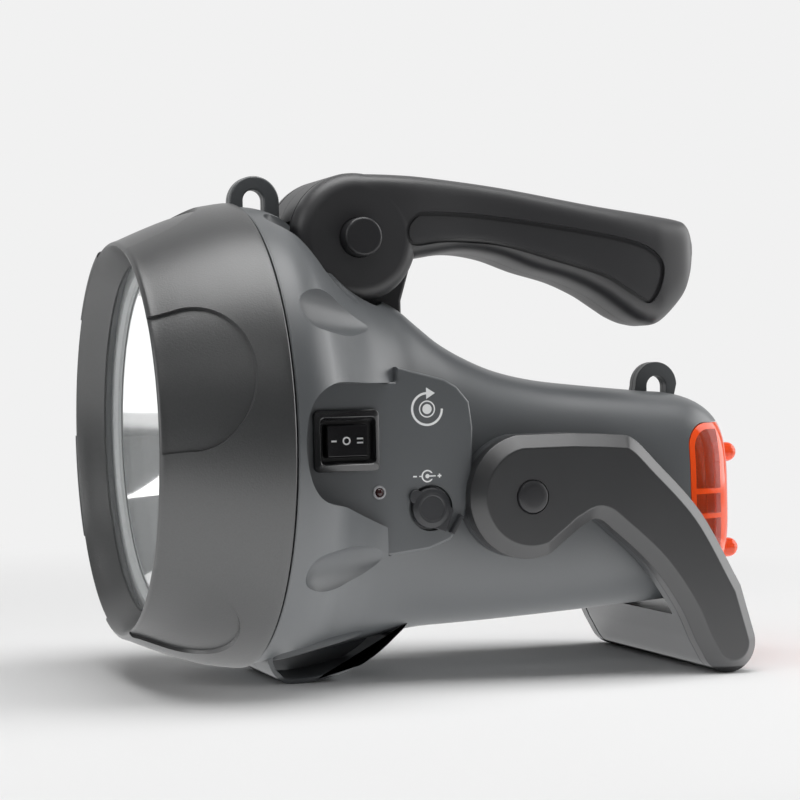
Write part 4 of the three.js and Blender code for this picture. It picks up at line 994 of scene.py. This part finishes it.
ROCKER_HALF, ROCKER_HOLLOW = 7.05, 1.2
hollow = [-ROCKER_HALF + 2 * ROCKER_HALF * i / 24 for i in range(25)]
plan = [(SWITCH[0] + t, -46 + ROCKER_HOLLOW * (1 - (t / ROCKER_HALF) ** 2)) for t in hollow]
plan += [(34.25, -40.6), (22.15, -40.6)]
rocker = pulled([(px, py, -7.25) for px, py in plan], (0, 0, 10.7))
rocker = softened(rocker, sharp_edges(rocker), 0.5, 3)
piece("rocker_cap", rocker, "rocker", plain(rocker_finish), ["rocker"])

# %% [markdown]
# ## Charge light, socket and its flap
# The charge light is a tiny dark dome in a bright ring. The charging socket hides under a rubber flap: a
# disc with a pull tab on one side and a skirt that widens to its anchor on the other. A raised bead on the
# disc shows where its plug sits.

# %% Turn the light and mould the flap
dome = [(-44.9, 0), (-44.8, 0.6), (-44.5, 1.15), (-44, 1.5), (-40, 1.5), (-40, 0)]
piece("charge_light_dome", turned(dome, "Y", LIGHT, 32), "lamp", light_dome, ["charge_light"])
rim = [(-44.35, 1.6), (-44.45, 1.9), (-44.3, 2.3), (-43.9, 2.4), (-43.9, 1.6)]
piece("charge_light_ring", turned(rim, "Y", LIGHT, 48, ring=True), "lamp", light_rim)

disc = [(-45.5, 0), (-45.5, 4.1), (-45.75, 4.5), (-45.75, 5.1), (-45.5, 5.5), (-45.4, 6.3), (-45, 6.8)]
disc += [(-44.4, 7), (-43.4, 6.9), (-42.9, 6.4), (-42.9, 2.6), (-41.6, 2.6), (-41.3, 2.3), (-41.3, 0)]
flap = turned(disc, "Y", SOCKET, 96)
tab = slab(arc(52.6, -21.8, 2.4, 0, 345, 23), -45.3, -44.3, fillet=0.4)
skirt = [(59.94, -19.6), (56.03, -31.7), (63.25, -34.18), (66.29, -26.86)]
skirt = slab(skirt[::-1], -45.1, -44.3, fillet=0.3)
piece("socket_flap", joined(flap, tab, skirt), "cover", flap_rubber, ["socket_cover"])

anchor = pulled([(-0.8, -46.9, -3.55), (0.8, -46.9, -3.55), (0.8, -46.9, 3.55), (-0.8, -46.9, 3.55)], (0, 2.6, 0))
anchor = softened(anchor, [e for e in sharp_edges(anchor) if max(v.co.y for v in e.verts) < -44.5], 0.5, 3)
anchor.transform(Matrix.Translation((66.9, 0, -31.7)) @ Matrix.Rotation(math.radians(32.3), 4, "Y"))
piece("flap_anchor", anchor, "lamp", flap_rubber, ["cover_anchor"])

# %% [markdown]
# ## The handle
# The grip grows out of a round hub that turns about the side button. The grip is skinned through rings from
# a table, the hub is spun, and the two are joined before the slot for the bracket is cut. A shallow panel
# with a bead round it is sunk into each side of the grip, where it gives the fingers an edge. It is cut like
# the bezel's petals: a block of the panel's outline, less a core that lies a little under the grip's skin.

# %% Skin the grip
PIVOT_X, PIVOT_Z = HUB[0], HUB[2]
HUB_R, HUB_HALF, GRIP_L, GRIP_HALF = 23.5, 22, 136, 17.5
GRIP = [
    (-0.02, 0.972, -0.3, 1.257, 6.5), (0.06, 0.972, -0.32, 1.257, 6.5), (0.135, 0.962, -0.34, 1.24, 6),
    (0.198, 0.94, -0.28, 1.19, 5.6), (0.309, 0.877, -0.2, 1.08, 5.2), (0.412, 0.804, -0.28, 1.02, 5),
    (0.515, 0.711, -0.49, 1, 4.8), (0.617, 0.609, -0.66, 1, 4.6), (0.699, 0.53, -0.87, 1, 4.6),
    (0.757, 0.48, -1.08, 1, 4.6), (0.801, 0.445, -1.24, 0.99, 4.6), (0.846, 0.41, -1.34, 0.97, 4.4),
    (0.89, 0.375, -1.33, 0.93, 4.2), (0.956, 0.318, -1, 0.8, 3.8), (0.983, 0.26, -0.74, 0.68, 3.4),
    (1, 0.06, -0.4, 0.5, 3),
]
GRIP_PANEL = [
    (0.13, 0.12), (0.155, 0.34), (0.2, 0.39), (0.36, 0.35), (0.6, 0.17), (0.8, -0.05), (0.875, -0.3),
    (0.885, -0.62), (0.845, -1.02), (0.78, -0.86), (0.7, -0.6), (0.55, -0.34), (0.4, -0.12), (0.25, -0.07),
    (0.15, -0.12),
]


def grip_row(row):
    place, top, bottom, half, power = row
    return Vector((
        PIVOT_X + place * GRIP_L, PIVOT_Z + top * HUB_R, PIVOT_Z + bottom * HUB_R, half * GRIP_HALF, power
    ))


def grip_body(thinner=0):
    """The grip, with its sides drawn in by thinner."""
    rings = [grip_row(row) - Vector((0, 0, 0, thinner, 0)) for row in eased(GRIP, 9)]
    return lofted([section(ring, 128) for ring in rings])


print("grip rows", len(GRIP))

# %% Sink a panel into each side
BEAD, BEAD_SUNK, FLOOR_SUNK = 1.5, 1.3, 0.8
panel_line = [(PIVOT_X + x * GRIP_L, PIVOT_Z + z * HUB_R) for x, z in eased(GRIP_PANEL, 6, closed=True)][::-1]
bead_inside = slab(grown(panel_line, -BEAD), -30, 30)
floor = joined(grip_body(BEAD_SUNK), carved(grip_body(FLOOR_SUNK), bead_inside, way="INTERSECT"))
sunk_panels = carved(slab(panel_line, -30, 30), floor)
grip = grip_body()
print("grip verts", len(grip.verts), "sunk panels", len(sunk_panels.faces))

# %% Join the hub, and cut what moves in it
corner = arc(HUB_R - 6.6, -HUB_HALF + 6, 6, -90, 0, 10)
hub_line = [(-HUB_HALF, 0)] + [(y, r) for r, y in corner] + [(-y, r) for r, y in corner[::-1]] + [(HUB_HALF, 0)]
hub = turned(hub_line, "Y", HUB, 144)
fan = [(PIVOT_X, PIVOT_Z)] + arc(PIVOT_X, PIVOT_Z, HUB_R + 0.6, -14, -196, 48)
slot_cut = joined(rod(17.6, -12.6, 12.6, HUB, 96), slab(fan[::-1], -12.6, 12.6))
bores = [rod(7.1, -24, 0, HUB), rod(9.1, -15.6, 0, HUB), rod(4.3, -1, 18, HUB), rod(7.1, 20, 24, HUB)]
grooves = [turned([(y, 21.6), (y + 1, 21.6), (y + 1, 26), (y, 26)], "Y", HUB, 144, ring=True) for y in (-14, 13)]
grooves = carved(joined(*grooves), block(0, 46, -30, 30, 66, 100), way="INTERSECT")
handle = carved(joined(hub, grip), slot_cut, sunk_panels, grooves, *bores)
right_grip = carved(handle.copy(), block(0, 200, -60, 0.12, 0, 120))
left_grip = carved(handle, block(0, 200, -0.12, 60, 0, 120))
piece("handle_left", left_grip, "handle", handle_coat, ["handle_shell_left"])
piece("handle_right", right_grip, "handle", handle_coat, ["handle_shell_right"])

# %% [markdown]
# ## Button, cap and bracket
# The button in the hub's left side frees the lock, and a flat cap closes the other side. Both are turned
# shapes with rounded rims. The bracket that carries the hub is a thick plate with rounded edges, and its
# rear corner is the handle's lower stop.

# %% Turn the button and the cap, and shape the bracket
def rounded_rim(face, radius, edge, way):
    """Points of a rounded rim, from the face's middle outwards. way is 1 where the face looks to -Y."""
    turns = [math.radians(15 * i) for i in range(7)]
    bow = [(face + way * edge * (1 - math.cos(t)), radius - edge + edge * math.sin(t)) for t in turns]
    return [(face, 0)] + bow


button = rounded_rim(-28, 6.8, 1.2, 1) + [(-14.8, 6.8), (-14.8, 8.8), (-12.9, 8.8), (-12.9, 4.3)]
button += [(-18.1, 4.3), (-18.1, 0)]
piece("turn_button", turned(button, "Y", HUB, 96), "button", button_plastic, ["handle_button"])
cap = rounded_rim(24, 6.8, 1.2, -1) + [(20.3, 6.8), (20.3, 0)]
piece("hub_cap", turned(cap, "Y", HUB, 96), "handle", button_plastic, ["handle_cap"])

bracket_line = [(33.4, 34.3), (60.8, 34.3), (60.8, 46.1), (64.4, 57.9), (57, 58.2)]
bracket_line += arc(PIVOT_X, PIVOT_Z, 17, -28, 240, 64)
bracket = pulled([(bx, -12, bz) for bx, bz in bracket_line], (0, 24, 0))
bracket = softened(bracket, rim_edges(bracket), 1.6, 4)
bracket = carved(bracket, rod(9.4, -14, -6, HUB), rod(4.3, -20, 20, HUB))
piece("hub_bracket", bracket, "lamp", button_plastic, ["handle_bracket"])

# %% [markdown]
# ## The stand
# A U-shaped stand swings under the tail. Its frame is two arms and a bar, and a cover with a wide chamfer is
# clipped over each arm. One outline gives both, so their edges run together with only a fine gap between.

# %% The outline of an arm
UNDER = [(0.25, -0.155), (0.34, -0.118), (0.43, -0.18), (0.61, -0.345), (0.75, -0.54), (0.83, -0.71)]
BACK = [(1.07, -0.46), (0.87, -0.11), (0.64, 0.14), (0.53, 0.245), (0.44, 0.267), (0.21, 0.281)]
STAND = Vector((STAND_AXLE[0], STAND_AXLE[2]))
REACH, TIP_DROP, TIP_R, BOSS_R = 76.3, 55.4, 10.8, 21.7


def arm_points():
    under = [tuple(p * REACH) for p in eased(UNDER, 6)]
    back = [tuple(p * REACH) for p in eased(BACK, 6)]
    boss, tip = arc(0, 0, BOSS_R, 100, 292, 48), arc(REACH, -TIP_DROP, TIP_R, 205, 372, 28)
    return [(x + STAND.x, z + STAND.y) for x, z in boss + under + tip + back]


arm_line = arm_points()
print("points round an arm", len(arm_line))


# %% A cover for each arm
CHAMFER = 4.7


def arm_cover(side):
    """A cover: its outer face is inset and pushed out, which leaves the wide chamfer round it."""
    shape = pulled([(x, side * 43, z) for x, z in arm_line], (0, side * 5, 0))
    outer = max(shape.faces, key=lambda face: side * face.calc_center_median().y)
    bmesh.ops.inset_region(shape, faces=[outer], thickness=CHAMFER, use_even_offset=True, use_boundary=True)
    bmesh.ops.translate(shape, verts=outer.verts, vec=(0, side * 4, 0))
    softened(shape, [e for e in rim_edges(shape, 25) if abs(e.verts[0].co.y) > 47], 0.4, 3)
    cap_seat = rod(6, *sorted((side * 50.6, side * 54)), STAND_AXLE)
    return carved(shape, cap_seat, rod(4.3, *sorted((side * 40, side * 51)), STAND_AXLE))


piece("arm_cover_left", arm_cover(-1), "stand", cover_plastic, ["stand_cover_left"])
piece("arm_cover_right", arm_cover(1), "stand", cover_plastic, ["stand_cover_right"])

# %% The frame with its bar
whole = pulled([(x, -42.6, z) for x, z in arm_line], (0, 85.2, 0))
softened(whole, rim_edges(whole), 0.6, 2)
between_arms = block(50, 200, -37.7, 37.7, STAND.y - 45.3, 20)
stand_bow = carved(whole, between_arms, rod(4.3, -60, 60, STAND_AXLE))
piece("stand_bow", stand_bow, "stand", frame_plastic, ["stand_frame"])

# %% Caps over the axle's ends
for side, name in ((-1, "left"), (1, "right")):
    crown = [(side * 50.9, 0), (side * 50.9, 5.7), (side * 52, 5.7), (side * 52.6, 5.4), (side * 53, 4.6)]
    crown += [(side * 53.2, 3.2), (side * 53.2, 0)]
    cap = turned(crown, "Y", STAND_AXLE, 72)
    piece(f"arm_cap_{name}", cap, "stand", button_plastic, [f"stand_cap_{name}"])

# %% [markdown]
# ## The tail lamp
# An orange lens wraps round the end of the tail. It is a shell of the tail's own form, kept inside a rounded
# window, with two ribs across its middle and four domed buffers to stand the lamp on. The brown carrier and
# the two red lamps behind it keep their packed shapes, because the lens blurs them.

# %% Carve the lens from the tail's form
def tail_body(inset):
    first = [row for row in rows if row[0] > 140]
    drawn_in = [Vector((r[0], r[1] - inset, r[2] + inset, r[3] - inset, r[4])) for r in first]
    return lofted([section(row, 256) for row in drawn_in + tail_rows(inset)])


window = slab(rounded(161.6, 200, -58.8, -0.3, 9, 12), -45, 45)
lens = carved(carved(tail_body(0), window, way="INTERSECT"), tail_body(3))
ribs = [block(164.6, 182.4, -37, 37, z - 0.7, z + 0.7) for z in (-34.05, -25.05)]
ribs = carved(carved(joined(*ribs), tail_body(1.5), way="INTERSECT"), tail_body(5.3))
print("lens faces", len(lens.faces), "rib faces", len(ribs.faces))

# %% Add the domed buffers
BUFFER_R, BUFFER_X = 3.6, 186
dome = [(BUFFER_X + BUFFER_R * math.sin(t), BUFFER_R * math.cos(t)) for t in (math.radians(15 * i) for i in range(7))]
buffer_line = [(180.9, 0), (180.9, BUFFER_R)] + dome
places = [(0, side * 17, level) for side in (-1, 1) for level in (-11.75, -47.35)]
buffers = [turned(buffer_line, "X", place, 48) for place in places]
lens = joined(lens, ribs, *buffers)
piece("orange_lens", lens, "lamp", orange_clear, ["tail_lens"])

# %% [markdown]
# ## Finishes for the parts that keep their packed shape
# What lies inside is simple and mostly hidden, so the packed parts serve as they are. Each still gets its own
# material: boards are lacquered green, the heat sink is turned alloy, and axles are plain steel.

# %% Dress the packed parts
dressed = {
    phosphor: ["lamp_emitter"], board_green: ["lamp_board", "control_board", "tail_lamp_board"], alloy: ["heat_sink"],
    gloss_black: ["charging_socket"], cell_plastic: ["battery"], carrier_plastic: ["tail_lamp_carrier"],
    red_clear: ["tail_led_upper", "tail_led_lower"],
    steel: ["handle_axle", "button_spring", "stand_axle_left", "stand_axle_right"],
}
for material, names in dressed.items():
    for name in names:
        nodes[name].data.materials.clear()
        nodes[name].data.materials.append(material)
print("packed parts dressed", sum(len(names) for names in dressed.values()))

# %% [markdown]
# ## The studio
# A pale sheet curves up behind the lamp, as a roll of paper does in a product studio, so that no edge shows
# between table and wall. It is one line of points, pulled sideways.

# %% Bend the sheet
SHEET_FRONT, SHEET_TOP, SHEET_HALF, BEND_Y, BEND_R = -2.5, 3, 3, 1.2, 0.7
bend = [math.radians(7.5 * i) for i in range(13)]
bend = [(BEND_Y + BEND_R * math.sin(t), BEND_R - BEND_R * math.cos(t)) for t in bend]
sweep_line = [(SHEET_FRONT, 0)] + bend + [(BEND_Y + BEND_R, SHEET_TOP)]
sweep = bmesh.new()
verts = [sweep.verts.new((-SHEET_HALF, y, z)) for y, z in sweep_line]
edges = [sweep.edges.new(pair) for pair in zip(verts, verts[1:])]
swept = bmesh.ops.extrude_edge_only(sweep, edges=edges)["geom"]
far_side = [part for part in swept if isinstance(part, bmesh.types.BMVert)]
bmesh.ops.translate(sweep, verts=far_side, vec=(2 * SHEET_HALF, 0, 0))
bmesh.ops.recalc_face_normals(sweep, faces=sweep.faces)
sweep_mesh = bpy.data.meshes.new("sweep")
sweep.to_mesh(sweep_mesh)
sweep.free()
sweep_mesh.shade_smooth()
print("sheet faces", len(sweep_mesh.polygons))

# %% [markdown]
# ## The sheet's paper
# Far behind the lamp the sheet looks a steady near-white to the camera, in reflections and through the glass,
# as an evenly lit backdrop would. Well away from the lamp on its other sides the camera sees the same white.
# Close to the lamp the sheet is plain paper that holds its shadow. So the material mixes paper with a plain
# glow, by the kind of ray and by the distance. The paper darkens towards the front, so that little light comes
# back from there.

# %% Paper near the lamp, an even glow far from it
PAPER_WHITE, BACKDROP_WHITE, FRONT_SHADE = 0.74, 0.88, 0.2
paper = Finish("paper", Roughness=0.9)
x, y, _ = paper.drawn()
shade = FRONT_SHADE + y.rising(-620, -230) * (1 - FRONT_SHADE)
paper.set("Base Color", paper.scaled((PAPER_WHITE,) * 3, shade * (0.98 + paper.noise(400) * 0.04)))
backdrop = paper.node("ShaderNodeEmission", sockets={"Color": (*(BACKDROP_WHITE,) * 3, 1), "Strength": 1.0})
camera_ray, glossy_ray, passing_ray = (paper.node("ShaderNodeLightPath", output=i) for i in (0, 3, 6))
behind = camera_ray.either(glossy_ray).either(passing_ray) * y.rising(100, 650)
around = camera_ray * ((x**2 + y**2) ** 0.5).rising(290, 640)
own_light = Value(paper, paper.shader.outputs[0])
sheet_look = paper.node("ShaderNodeMixShader", sockets={0: behind.either(around), 1: own_light, 2: backdrop})
paper.feed(paper.output.inputs["Surface"], sheet_look)
sweep_mesh.materials.append(plain(paper))
sweep_piece = bpy.data.objects.new("sweep", sweep_mesh)
bpy.context.scene.collection.objects.link(sweep_piece)
print("nodes in the paper", len(paper.tree.nodes))

# %% [markdown]
# ## Lights
# A wide soft light hangs over the lamp. A weak one shines up through the table, as a light table does, which
# gives the round parts a second, lower highlight. Hardly anything shines from where the camera stands, so the
# faces that look at it stay dark between the two, and one narrow strip only draws the edges. A card on each
# side, level with the lamp, rakes over the mouth and the slope of the flare. The world adds a faint fill, and
# the camera sees it in the backdrop's white.

# %% Hang the lights
def soft_light(name, place, aim, size, power):
    data = bpy.data.lights.new(name, "AREA")
    data.shape, data.size, data.size_y, data.energy = "RECTANGLE", size[0], size[1], power
    light = bpy.data.objects.new(name, data)
    bpy.context.scene.collection.objects.link(light)
    facing = (Vector(aim) - Vector(place)).to_track_quat("-Z", "Y")
    light.matrix_world = Matrix.Translation(place) @ facing.to_matrix().to_4x4()
    return light


soft_light("overhead", (0, -0.1, 1.25), (0, 0, 0.1), (1.3, 0.8), 16)
soft_light("left_card", (-1.15, -0.25, 0.4), (-0.1, 0, 0.1), (0.6, 0.8), 4)
soft_light("right_card", (1.15, -0.05, 0.5), (0, 0, 0.1), (1, 1), 10)
soft_light("edge_strip", (-0.35, -1, 0.85), (0, 0, 0.1), (0.9, 0.15), 0.8)
under_table = soft_light("under_table", (0, -0.06, 0.002), (0, -0.06, 1), (0.7, 0.36), 0.6)
under_table.visible_camera = False

# %% Fill from all round
FILL = 0.07
world = bpy.data.worlds.new("studio")
bpy.context.scene.world = world
world.use_nodes = True
air = world.node_tree.nodes["Background"]
air.inputs["Color"].default_value = (1, 1, 1, 1)
path = world.node_tree.nodes.new("ShaderNodeLightPath")
level = world.node_tree.nodes.new("ShaderNodeMapRange")
level.inputs["To Min"].default_value, level.inputs["To Max"].default_value = FILL, BACKDROP_WHITE
world.node_tree.links.new(path.outputs["Is Camera Ray"], level.inputs["Value"])
world.node_tree.links.new(level.outputs[0], air.inputs["Strength"])
bpy.context.scene.view_settings.view_transform = "Standard"
print("world nodes", len(world.node_tree.nodes))

# %% [markdown]
